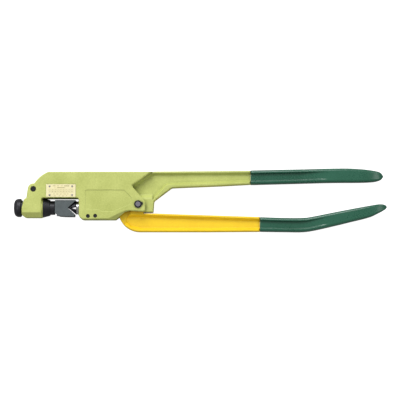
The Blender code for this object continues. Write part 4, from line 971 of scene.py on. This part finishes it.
@dataclass
class HeadCasting:
    """Cast C-shaped head, its two cheeks and the fixed I-section handle."""

    half: float = 19.0
    flange_half: float = 8.5
    web_half: float = 2.6
    rim: float = 2.2
    top_y: float = 56.0
    body_bottom_y: float = -26.0
    nose_bottom_y: float = -22.4
    nose_face_x: float = -199.6
    nose_chamfer: float = 8.4
    nose_pin: Point = (-179.7, 26.1)
    nose_pin_bore: float = 4.7
    nose_lug: float = 9.8
    jaw_left_x: float = -165.6
    jaw_right_x: float = -101.7
    jaw_roof_y: float = 10.7
    jaw_corner: float = 3.5
    crown_radius: float = 55.0
    shoulder: Point = (24.0, 56.0)
    elbow: Point = (-10.4, 31.2)
    boss_radius: float = 17.6
    boss_rise: float = 1.9
    spindle_bore: float = 12.3
    guide_bore: float = 14.5
    ram_bore: float = 12.2
    bush_bore: float = 14.7
    handle_end_x: float = 193.4
    slot_half: float = 9.0
    pocket_half: float = 5.0
    pivot_bore: float = 6.6
    pivot_head_bore: float = 7.8
    pivot_head_depth: float = 4.3
    small_bore: float = 3.3
    pawl_pin: Point = (-73.3, -20.1)
    spring_pin: Point = (-85.8, -20.5)
    pad_depth: float = 0.8
    plate_grow: float = 0.5
    plate_depth: float = 0.6

    def outline(self) -> Outline:
        """Return the thick head's outline."""
        lug = arc(self.nose_pin, self.nose_lug, 165, 82, 12)
        crown = arc_through((-178.2, 36.0), (-154.1, self.top_y), self.crown_radius, 14)
        rest = rounded([self.shoulder, (*self.elbow, 2), (12.4, 4.0, 7), (12.4, -12.9, 3.5),
                        (-13.9, -11.2, 6), (-22.5, -13.0, 5), (-38.5, self.body_bottom_y, 5),
                        (self.jaw_right_x, self.body_bottom_y, 9),
                        (self.jaw_right_x, self.jaw_roof_y, self.jaw_corner),
                        (self.jaw_left_x, self.jaw_roof_y, self.jaw_corner),
                        (self.jaw_left_x, self.nose_bottom_y, 2.8),
                        (self.nose_face_x, self.nose_bottom_y, 9), (self.nose_face_x, -6.0, 8),
                        (-195.4, 10.0, 6)])
        return rest[1:] + lug + crown + [rest[0]]

    def arm_corners(self) -> Corners:
        """Return the corners of the fixed handle and its leg behind the pivot."""
        return [(-30.0, self.top_y - 1.0), (20.0, self.top_y), (28.0, self.top_y + 1.2, 6),
                (self.handle_end_x, 58.6), (self.handle_end_x, 34.6), (141.0, 31.8), (58.0, 28.4, 8),
                (27.6, 5.4, 5), (26.2, -13.8, 1.5), (10.0, -13.8), (0.0, 4.0), (-30.0, 40.0)]

    def hollow_corners(self) -> Corners:
        """Return the corners of the hollow's mouth on one side of the fixed handle's web."""
        beyond = self.handle_end_x + 8
        return [(25.0, 54.2, 5), (-12.4, 29.2), (6.6, 7.0), (23.6, 7.0, 4), (49.4, 34.4, 9),
                (141.0, 37.2), (beyond, 39.8), (beyond, 55.2)]

    def slot_outline(self) -> Outline:
        """Return the slot between the cheeks."""
        left = node_low("link_front").x - 1.3
        return rounded([(left, -60.0), (left, 10.0, 4), (left + 20.0, 31.0, 4), (-13.6, 31.0, 4),
                        (9.9, 3.2, 3), (9.9, -60.0)])

    @staticmethod
    def pad_corners() -> Corners:
        """Return the corners of the shallow panel in the cheek's face."""
        return [(-90.4, 24.3, 3), (-90.6, -8.6, 2), (-66.7, -8.6, 2), (-62.3, -12.2, 2),
                (-42.5, -12.2, 4), (-14.0, -0.4, 3), (-10.0, 9.6, 3), (-23.9, 24.3, 3)]

    def nose_wedge(self) -> Solid:
        """Return the wedge that slopes the nose's lower edge."""
        deep = self.half - self.nose_chamfer * 0.8
        high = self.nose_bottom_y + self.nose_chamfer
        beyond = 5.0
        below = self.nose_bottom_y - 8
        section = [(high, self.half), (self.nose_bottom_y - 0.6, deep), (below, deep),
                   (below, self.half + beyond), (high, self.half + beyond)]
        return rings_solid([[Vector((x, y, z)) for y, z in section]
                            for x in (self.nose_face_x - beyond, self.jaw_left_x + beyond)])

    def belly_slope(self) -> Solid:
        """Return the wedge that slopes the front cheek's lower corner in front of the beam."""
        foot, top, reach = (-57.0, self.body_bottom_y), (-22.5, -11.0), 16.0
        way = (Vector(top) - Vector(foot)).normalized()
        out = Vector((way.y, -way.x))
        above = self.half + OVERSHOOT
        section = [(0.0, self.half + 0.02), (reach, self.half - reach * 0.85), (reach, above), (0.0, above)]
        return rings_solid([[Vector((*(Vector(place_at) + way * along + out * across), height))
                             for across, height in section]
                            for place_at, along in ((foot, -14.0), (top, 3.0))])

    def ramp(self) -> Solid:
        """Return the slope that rises from the web to the leg's face."""
        section = [(19.0, 0.0), (19.0, self.web_half - 0.1), (17.6, self.web_half + 0.3), (15.6, 4.0),
                   (12.6, self.flange_half - 1.2), (10.6, self.flange_half - 0.3), (8.6, self.flange_half),
                   (2.0, self.flange_half), (2.0, 0.0)]
        return rings_solid([[Vector((x, y, z)) for y, z in section] for x in (4.0, 24.4)])

    def arm(self) -> Solid:
        """Return the fixed handle with its hollows."""
        edges = rims(-self.flange_half, self.flange_half, 2.6, 4.2)
        arm = as_object("arm", moulded(self.arm_corners(), edges))
        profile = sloped_hollow(self.web_half, self.flange_half, 2.8, 1.2)
        shape(arm, Cut.AWAY, both_sides(lambda: moulded(self.hollow_corners(), profile)))
        shape(arm, Cut.ADD, both_sides(self.ramp))
        solid = bmesh.new()
        solid.from_mesh(arm.data)
        bpy.data.objects.remove(arm, do_unlink=True)
        return solid

    def bore(self, centre: Point, radius: float, chamfer: float = 0.0) -> Solid:
        """Return a cutter right through the casting, with chamfered mouths."""
        far = self.half + 5
        mouth = self.half - chamfer
        if not chamfer:
            return upright(centre, [(-far, radius), (far, radius)])
        wide = radius + chamfer
        return upright(centre, [(-far, wide), (-self.half, wide), (-mouth, radius), (mouth, radius),
                                (self.half, wide), (far, wide)])

    def nose_bores(self) -> list[Solid]:
        """Return the bores of the nose for the knob's screw, the spindle, its guide and its key."""
        axis = (DIE_AXIS_Y, 0.0)
        seat_x = node_high("spring_washer").x + 0.3
        guide_x = node_low("spindle_guide").x - 0.3
        key_low, key_high = node_low("nest_key"), node_high("nest_key")
        return [
            turned([(seat_x + 4.2, self.spindle_bore), (self.jaw_left_x + 5, self.spindle_bore)], 64, axis),
            turned([(guide_x, self.guide_bore), (self.jaw_left_x + 5, self.guide_bore)], 64, axis),
            turned([(self.nose_face_x - 10, 6.3), (seat_x + 5.2, 6.3)], 48, axis),
            turned([(self.nose_face_x - 10, 16.4), (seat_x, 16.4)], 64, axis),
            box((key_low.x - 0.3, DIE_AXIS_Y, key_low.z - 0.3),
                (key_high.x + 0.3, key_high.y + 0.3, key_high.z + 0.3)),
        ]

    def cheek_cuts(self) -> list[Solid]:
        """Return the ram's bore, the slot between the cheeks and the pawl's pocket."""
        axis = (DIE_AXIS_Y, 0.0)
        bush_end = node_high("ram_bush").x + 0.4
        return [
            turned([(self.jaw_right_x - 5, self.bush_bore + 0.8), (self.jaw_right_x, self.bush_bore + 0.5),
                    (self.jaw_right_x + 0.5, self.bush_bore), (bush_end, self.bush_bore)], 64, axis),
            turned([(bush_end - 1, self.ram_bore), (-63.0, self.ram_bore)], 64, axis),
            profiled(self.slot_outline(), [(-self.slot_half, 0.0), (self.slot_half, 0.0)]),
            box((self.spring_pin[0] - 3.4, -60.0, -self.pocket_half), (-64.0, -13.2, self.pocket_half)),
        ]

    def face_cuts(self) -> list[Solid]:
        """Return the bores through the cheeks and the recesses in the front face."""
        far = self.half + 5
        low, high = node_low("name_plate"), node_high("name_plate")
        grow = self.plate_grow
        plate = [(low.x - grow, low.y - 4.0), (high.x + grow, low.y - 4.0),
                 (high.x + grow, high.y + grow, 0.8), (low.x - grow, high.y + grow, 0.8)]
        cuts = [
            upright((0, 0), [(-far, self.pivot_head_bore),
                             (-self.half + self.pivot_head_depth, self.pivot_head_bore)]),
            self.bore((0, 0), self.pivot_bore),
            self.bore(self.nose_pin, self.nose_pin_bore, 0.7),
            self.bore(self.pawl_pin, self.small_bore, 0.4),
            self.bore(self.spring_pin, self.small_bore, 0.4),
            moulded(plate, flared(self.half - self.plate_depth, self.half, 0.3, 2), 3),
            moulded(self.pad_corners(), flared(self.half - self.pad_depth, self.half, 0.7)),
        ]
        for screw in PLATE_SCREWS:
            cuts.append(upright(node_middle(screw), [(self.half - 6, 1.2), (far, 1.2)], 16))
        return cuts

    def build(self, shop: Shop) -> None:
        """Make and dress the casting."""
        edges = rims(-self.half, self.half, self.rim, self.rim, 4)
        head = as_object("head_casting", profiled(self.outline(), edges))
        ridge = edge_cutter(self.elbow, self.shoulder, self.half, 4.2, 3.0)
        shape(head, Cut.AWAY, both_sides(self.nose_wedge) + [ridge, self.belly_slope()])
        boss_end = self.jaw_left_x + self.boss_rise
        boss = turned([(self.jaw_left_x - 4, self.boss_radius), (self.jaw_left_x, self.boss_radius),
                       (boss_end - 0.6, self.boss_radius - 0.4), (boss_end, self.boss_radius - 1.2)],
                      96, (DIE_AXIS_Y, 0.0))
        shape(head, Cut.ADD, [self.arm(), boss])
        shape(head, Cut.AWAY, self.nose_bores() + self.cheek_cuts() + self.face_cuts())
        place(head, shop.green, "tool", "green_enamel", ("head_frame",))


# ---- dipped grips ------------------------------------------------------------------------------

@dataclass
class DippedGrip:
    """Vinyl grip that follows its handle, with the web's hollow showing through."""

    name: str
    node: str
    body: str
    top: tuple[Point, ...]
    bottom: tuple[Point, ...]
    half: float = 11.0
    groove: float = 5.0
    groove_end_x: float = 332.0
    groove_taper: float = 62.0
    rounding: float = 46.0
    wall: float = 4.6
    web_half: float = 2.9

    def section(self, x: float, top: float, bottom: float, half: float, groove: float) -> list[Vector]:
        """Return the ring of points around the grip at one station."""
        middle = (top + bottom) / 2
        rise = (top - bottom) / 2
        corner = min(4.6, rise * 0.4, half * 0.7)
        lip = (rise - corner) * 0.97
        floor = lip * 0.70
        quarter = [(half - corner + corner * math.sin(a), rise - corner + corner * math.cos(a))
                   for a in quarter_turn(7)]
        fall = []
        for step in range(1, 8):
            t = step / 8
            ease = t * t * (3 - 2 * t)
            fall.append((half - groove * ease, lip + (floor - lip) * t))
        flat = [(half - groove, floor * share) for share in (1.0, 0.5, 0.0)]
        upper = quarter + fall + flat
        right = upper + [(z, -y) for z, y in reversed(upper[:-1])]
        left = [(-z, y) for z, y in reversed(right)]
        return [Vector((x, middle + y, z)) for z, y in right + left]

    def build(self, shop: Shop) -> None:
        """Make and dress the grip."""
        start = node_low(self.node).x
        tip = node_high(self.node).x
        round_from = tip - self.rounding
        places = [start, start + 0.5, start + 1.6]
        places += [start + 1.6 + (round_from - start - 1.6) * step / 46 for step in range(1, 47)]
        places += [tip - self.rounding * (1 - step / 22) ** 2 for step in range(1, 23)]
        rings = []
        for x in places:
            top, bottom = smooth_value(self.top, x), smooth_value(self.bottom, x)
            taper = max(0.0, min(1.0, (self.groove_end_x - x) / self.groove_taper))
            taper = taper * taper * (3 - 2 * taper)
            closing = max(0.0, (x - round_from) / self.rounding)
            lip = min(1.0, (x - start) / 1.6)
            pinch = 0.7 * (1 - math.sqrt(max(0.0, 1 - (1 - lip) ** 2)))
            half = self.half * math.sqrt(max(0.05, 1 - closing ** 3.2)) - pinch
            rings.append(self.section(x, top - pinch, bottom + pinch, half, 0.04 + self.groove * taper))
        grip = as_object(self.name, rings_solid(rings))
        hollow = []
        for step in range(25):
            x = start - 4 + (tip - 34 + 0.3 - start + 4) * step / 24
            top = smooth_value(self.top, x) - self.wall + 0.3
            bottom = smooth_value(self.bottom, x) + self.wall - 0.3
            hollow.append([Vector((x, top, self.web_half)), Vector((x, bottom, self.web_half)),
                           Vector((x, bottom, -self.web_half)), Vector((x, top, -self.web_half))])
        shape(grip, Cut.AWAY, [rings_solid(hollow)])
        place(grip, shop.vinyl, self.body, "dipped_vinyl", (self.node,), sharp=50)


def upper_grip() -> DippedGrip:
    """Return the fixed handle's grip."""
    return DippedGrip("fixed_grip_skin", "fixed_handle_grip", "tool",
                      top=((193.4, 59.0), (280, 60.8), (355, 62.4), (385, 61.0), (405, 58.6),
                           (414, 56.6), (419, 54.0), (422, 49.6)),
                      bottom=((193.4, 34.4), (262, 36.2), (331, 38.0), (383, 38.4), (405, 39.4),
                              (414, 41.2), (419, 43.6), (422, 47.6)))


def lower_grip() -> DippedGrip:
    """Return the moving handle's grip."""
    return DippedGrip("moving_grip_skin", "moving_handle_grip", "handle",
                      top=((209.2, -21.6), (250, -22.9), (286, -22.8), (302, -20.4), (331, -14.6),
                           (365, -8.0), (400, -1.6), (414, 0.6), (422, 0.4), (426.4, -1.2), (428, -3.6)),
                      bottom=((209.2, -46.4), (250, -47.0), (284, -47.1), (302, -44.6), (331, -38.2),
                              (365, -30.0), (400, -21.0), (414, -14.4), (422, -10.2), (426.4, -7.2),
                              (428, -4.8)))


# ---- moving handle -----------------------------------------------------------------------------

@dataclass
class MovingHandle:
    """Yellow forged beam with its ear between the cheeks."""

    flange_half: float = 8.5
    web_half: float = 2.6
    ear_half: float = 4.0
    boss: float = 9.5
    eye: float = 7.4
    bottom_y: float = -47.2
    hub: Point = (3.3, -9.2)
    thick_from: float = 224.0
    end_x: float = 209.2
    crank_radius: float = 18.0
    crank_angle: float = 170.0
    bush_bore: float = 6.6
    pin_bore: float = 3.8
    eye_relief: float = 9.2

    def crank(self) -> Point:
        """Return the crank pin's centre."""
        angle = math.radians(self.crank_angle)
        return self.crank_radius * math.cos(angle), self.crank_radius * math.sin(angle)

    def beam_outline(self) -> Outline:
        """Return the beam's outline from the ear to the grip."""
        reach = self.hub[1] - self.bottom_y
        return ([(self.end_x, -46.6), (self.end_x, -21.2), (25.6, -15.2), (self.boss, -14.6),
                 (self.boss, 0.0), (-self.boss, 0.0), (-self.boss - 0.6, -3.0)]
                + arc(self.hub, reach, self.thick_from, 270, 16) + [(120.0, self.bottom_y)])

    def ear_outline(self) -> Outline:
        """Return the ear's outline between the links."""
        reach = self.hub[1] - self.bottom_y
        return (arc((0, 0), self.boss, 0, 95, 12) + arc(self.crank(), self.eye, 95, 205, 12)
                + arc(self.hub, reach, 199, 270, 26) + [(12.0, self.bottom_y), (12.0, -15.0),
                                                        (self.boss, -14.9)])

    def hollow_corners(self) -> Corners:
        """Return the corners of the hollow's mouth on one side of the beam's web."""
        return [(-23.0, -19.6, 5), (-24.6, -28.6, 8), (-14.0, -38.8, 12), (5.0, -43.4, 14),
                (120.0, -43.4), (self.end_x + 8, -42.8), (self.end_x + 8, -25.2), (40.0, -19.2),
                (-8.0, -17.6)]

    def build(self, shop: Shop) -> None:
        """Make and dress the beam."""
        edges = rims(-self.flange_half, self.flange_half, 2.2, 3.6)
        beam = as_object("yellow_beam", profiled(self.beam_outline(), edges))
        ear = profiled(self.ear_outline(), rims(-self.ear_half, self.ear_half, 1.6, 2.2, 4))
        boss = upright((0, 0), [(-self.flange_half, self.boss), (self.flange_half, self.boss)])
        shape(beam, Cut.ADD, [ear, boss])
        profile = sloped_hollow(self.web_half, self.flange_half, 3.4, 1.2)
        far = 20.0
        shape(beam, Cut.AWAY, both_sides(lambda: moulded(self.hollow_corners(), profile)) + [
            upright(centre, [(low, radius), (high, radius)]) for centre, low, high, radius in (
                (self.crank(), self.ear_half, far, self.eye_relief),
                (self.crank(), -far, -self.ear_half, self.eye_relief),
                ((0, 0), -far, far, self.bush_bore),
                (self.crank(), -far, far, self.pin_bore))])
        place(beam, shop.yellow, "handle", "yellow_enamel", ("moving_handle",))


# ---- name plate --------------------------------------------------------------------------------

@dataclass
class NamePlate:
    """Printed plate with a blank table of marks, held by four drive screws."""

    corner: float = 0.9
    edge: float = 0.25
    ink_height: float = 0.05
    line: float = 0.12
    columns: int = 9

    def marks(self, low: Vector, high: Vector) -> list[Solid]:
        """Return the printed bars and ticks, none of them a letter.

        Args:
            low: The plate's lowest corner.
            high: The plate's highest corner.

        Returns:
            One thin block for each mark.
        """
        face = high.z
        width, height = high.x - low.x, high.y - low.y

        def mark(x: float, y: float, long: float, tall: float) -> Solid:
            """Return one mark centred at shares of the plate's width and height."""
            cx, cy = low.x + width * x, low.y + height * y
            return box((cx - long / 2, cy - tall / 2, face),
                       (cx + long / 2, cy + tall / 2, face + self.ink_height))

        marks = [mark(0.27, 0.865, 5.0, 0.8), mark(0.40, 0.865, 3.4, 0.6), mark(0.53, 0.865, 3.0, 0.6),
                 mark(0.70, 0.865, 9.0, 1.1), mark(0.50, 0.73, 13.0, 0.8), mark(0.30, 0.73, 1.2, 0.5)]
        table_start, table_width = 0.08, 0.84
        for row in (0.62, 0.48, 0.34, 0.16):
            marks.append(mark(0.5, row, width * table_width, self.line))
        for column in range(self.columns + 1):
            share = table_start + table_width * column / self.columns
            marks.append(mark(share, 0.48, self.line, height * 0.28))
        for column in range(self.columns):
            middle = table_start + table_width * (column + 0.5) / self.columns
            for row, long in ((0.55, 1.6), (0.41, 2.2)):
                marks.append(mark(middle, row, long * (0.75 + 0.25 * ((column * 7) % 3)), 0.7))
        for index, share in enumerate((0.27, 0.38, 0.50, 0.63, 0.73)):
            marks.append(mark(share, 0.235, 2.6 + (index % 2), 0.6))
        for index, share in enumerate((0.30, 0.45, 0.58, 0.70)):
            marks.append(mark(share, 0.09, 3.2 - (index % 2), 0.5))
        return marks

    def build(self, shop: Shop) -> None:
        """Make and dress the plate and its print."""
        low, high = node_low("name_plate"), node_high("name_plate")
        outline = rounded([(low.x, low.y, self.corner), (high.x, low.y, self.corner),
                           (high.x, high.y, self.corner), (low.x, high.y, self.corner)])
        edges = rims(low.z, high.z, self.edge, self.edge, 3)
        plate = as_object("printed_name_plate", profiled(outline, edges))
        shape(plate, Cut.AWAY, [upright(node_middle(screw), [(low.z - 1, 1.2), (high.z + 1, 1.2)], 20)
                                for screw in PLATE_SCREWS])
        place(plate, shop.plate, "tool", "printed_plate", ("name_plate",))
        print_marks = as_object("plate_print", joined(self.marks(low, high)))
        place(print_marks, shop.ink, "tool", "printed_plate")


@dataclass
class DriveScrews:
    """Round-headed screws that hold the name plate, each with a slot."""

    head: float = 1.5
    shank: float = 0.9
    slot_width: float = 0.45
    sides: int = 24

    def build(self, shop: Shop) -> None:
        """Make and dress the four screws."""
        for number, node in enumerate(PLATE_SCREWS, 1):
            bottom, top = node_low(node).z, node_high(node).z
            middle = node_middle(node)
            foot = top - self.shank
            dome = [(foot + self.shank * math.sin(a), self.head * math.cos(a))
                    for a in (math.radians(10 * step) for step in range(9))]
            profile = [(bottom, self.shank), (foot, self.shank)] + dome
            screw = as_object(f"drive_screw_{number}", upright(middle, profile, self.sides))
            turn = Matrix.Rotation(math.radians(25 + 50 * number), 4, "Z")
            slot = box((-3.0, -self.slot_width / 2, top - 0.35), (3.0, self.slot_width / 2, top + 1))
            bmesh.ops.transform(slot, matrix=Matrix.Translation((*middle, 0)) @ turn, verts=slot.verts)
            shape(screw, Cut.AWAY, [slot])
            place(screw, shop.pin, "tool", "pin_steel", (node,))


# ---- nose: knob, spindle and nest --------------------------------------------------------------

@dataclass
class SettingKnob:
    """Black domed knob behind the nose."""

    radius: float = 15.9
    screw_bore: float = 2.1
    socket: float = 6.3

    def build(self, shop: Shop) -> None:
        """Make and dress the knob."""
        low, high = node_low("setting_knob"), node_high("setting_knob")
        back, crown = high.x, low.x
        rim = [(0.0, 1.8), (0.25, 1.0), (0.8, 0.3), (1.5, 0.0), (2.6, 0.0), (2.9, 0.5), (3.5, 0.5),
               (3.8, 0.0)]
        profile = [(back - along, self.radius - inset) for along, inset in rim]
        dome_start = back - 3.8
        for angle in quarter_turn(24, 1):
            profile.append((dome_start - (dome_start - crown) * math.sin(angle) ** 0.94,
                            self.radius * math.cos(angle) ** 0.5))
        knob = as_object("domed_knob", turned(profile, 96, (DIE_AXIS_Y, 0.0)))
        screw_low, screw_high = node_low("knob_set_screw"), node_high("knob_set_screw")
        hole = crosswise(node_middle("knob_set_screw")[0],
                         [(screw_low.y - 6, self.screw_bore), (screw_high.y + 0.9, self.screw_bore)], 24)
        socket = turned([(back - 7.3, self.socket), (back + 3, self.socket)], 48, (DIE_AXIS_Y, 0.0))
        shape(knob, Cut.AWAY, [socket, hole])
        place(knob, shop.black, "knob", "black_oxide", ("setting_knob",))


@dataclass
class NestDie:
    """Grey nest with its vee and the bell-mouthed edges of the vee."""

    face_x: float = -106.9
    top_y: float = 7.4
    bottom_y: float = -20.6
    vee_x: float = -120.7
    half: float = 15.0
    tenon: float = 7.3
    tenon_depth: float = 9.8
    pin_bore: float = 2.8

    def outline(self) -> Outline:
        """Return the nest's outline."""
        left = node_low("nest_die").x
        return rounded([(left, self.top_y, 1.5), (left, -14.6, 1.2), (-136.0, -19.8, 5),
                        (-124.0, self.bottom_y, 4), (self.face_x - 2.4, self.bottom_y),
                        (self.face_x - 2.0, -16.8), (self.vee_x, DIE_AXIS_Y - 0.4),
                        (self.face_x, self.top_y - 0.8), (self.face_x - 0.8, self.top_y)], 4)

    def build(self, shop: Shop) -> None:
        """Make and dress the nest."""
        edges = rims(-self.half, self.half, 0.4, 0.4, 3)
        nest = as_object("vee_nest", profiled(self.outline(), edges))
        left = node_low("nest_die").x
        pin_low, pin_high = node_low("nest_pin"), node_high("nest_pin")
        hole = crosswise(node_middle("nest_pin")[0],
                         [(pin_low.y - 6, self.pin_bore), (pin_high.y + 0.3, self.pin_bore)], 32)
        socket = turned([(left - 3, self.tenon), (left + self.tenon_depth - 0.3, self.tenon)], 48,
                        (DIE_AXIS_Y, 0.0))
        shape(nest, Cut.AWAY, [socket, hole])
        place(nest, shop.nest, "nest", "grey_die_steel", ("nest_die",))


# ---- stage -------------------------------------------------------------------------------------

@dataclass
class Studio:
    """Pale floor, soft lights and the camera above the tool."""

    picture_width: float = 0.6895
    distance: float = 3.4
    elevation: float = 85.9
    sensor: float = 36.0
    floor_reach: float = 6.0
    floor_gap: float = 0.0002
    sky: float = 0.34
    aim: tuple[float, float, float] = (-0.0007, 0.0008, 0.019)

    def build(self, shop: Shop) -> None:
        """Make the floor, the lights and the camera."""
        solid = bmesh.new()
        bmesh.ops.create_grid(solid, x_segments=1, y_segments=1, size=self.floor_reach)
        floor = as_object("floor", solid)
        floor.location = (0, 0, CAD_BOX[0][2] - self.floor_gap)
        dress(floor, shop.floor)
        self.light("key", (-0.5, 1.7, 1.6), 1.5, 46.0)
        self.light("side", (-1.5, -0.3, 1.9), 1.2, 9.0)
        self.light("right", (1.6, 0.7, 1.9), 1.2, 9.0)
        world = bpy.data.worlds.new("studio")
        world.use_nodes = True
        sky = world.node_tree.nodes["Background"].inputs
        sky["Color"].default_value = (1, 1, 1, 1)
        sky["Strength"].default_value = self.sky
        bpy.context.scene.world = world
        self.camera()

    @staticmethod
    def light(name: str, place_at: tuple[float, float, float], size: float, power: float) -> None:
        """Add one soft square light that faces the tool.

        Args:
            name: The light's name.
            place_at: Where it stands, in metres.
            size: Its side, in metres.
            power: Its power, in watts.
        """
        data = bpy.data.lights.new(name, "AREA")
        data.size = size
        data.energy = power
        lamp = add_object(name, data)
        lamp.location = place_at
        lamp.rotation_euler = (-Vector(place_at)).to_track_quat("-Z", "Y").to_euler()

    def camera(self) -> None:
        """Add the camera and make it the scene's own."""
        data = bpy.data.cameras.new("camera")
        data.sensor_width = self.sensor
        data.lens = self.sensor * self.distance / self.picture_width
        data.clip_end = 20
        eye = add_object("camera", data)
        tilt = math.radians(90 - self.elevation)
        eye.rotation_euler = (tilt, 0, 0)
        aim = Vector(self.aim)
        eye.location = aim + Vector((0, -math.sin(tilt), math.cos(tilt))) * self.distance
        bpy.context.scene.camera = eye


# ---- whole tool --------------------------------------------------------------------------------

def dress_plain_nodes(shop: Shop) -> None:
    """Give the nodes whose shape is right in the frame their finishes."""
    for finish, nodes in (
            (shop.black, ("nest_spindle", "spindle_guide", "indenter")),
            (shop.dark, ("nose_cross_pin", "spring_washer", "pivot_ring", "pawl_pin", "spring_pin")),
            (shop.pin, ("pivot_pin", "ram_pin", "crank_pin", "link_front", "link_back", "ratchet_pawl",
                        "pawl_spring", "adjusting_screw", "knob_set_screw", "nest_key", "nest_pin")),
            (shop.bright, ("ram", "indenter_collar")),
            (shop.bronze, ("ram_bush", "handle_bush", "cheek_bush_front", "cheek_bush_back"))):
        for node in nodes:
            dress_node(node, finish)


def main() -> None:
    """Build the whole tool and its stage."""
    logging.basicConfig(level=logging.INFO, format="%(name)s: %(message)s")
    bpy.context.scene.view_settings.view_transform = "Standard"
    shop = Shop()
    for part in (HeadCasting(), upper_grip(), lower_grip(), MovingHandle(), NamePlate(), DriveScrews(),
                 SettingKnob(), NestDie()):
        part.build(shop)
    dress_plain_nodes(shop)
    Studio().build(shop)


if __name__ == "__main__":
    main()
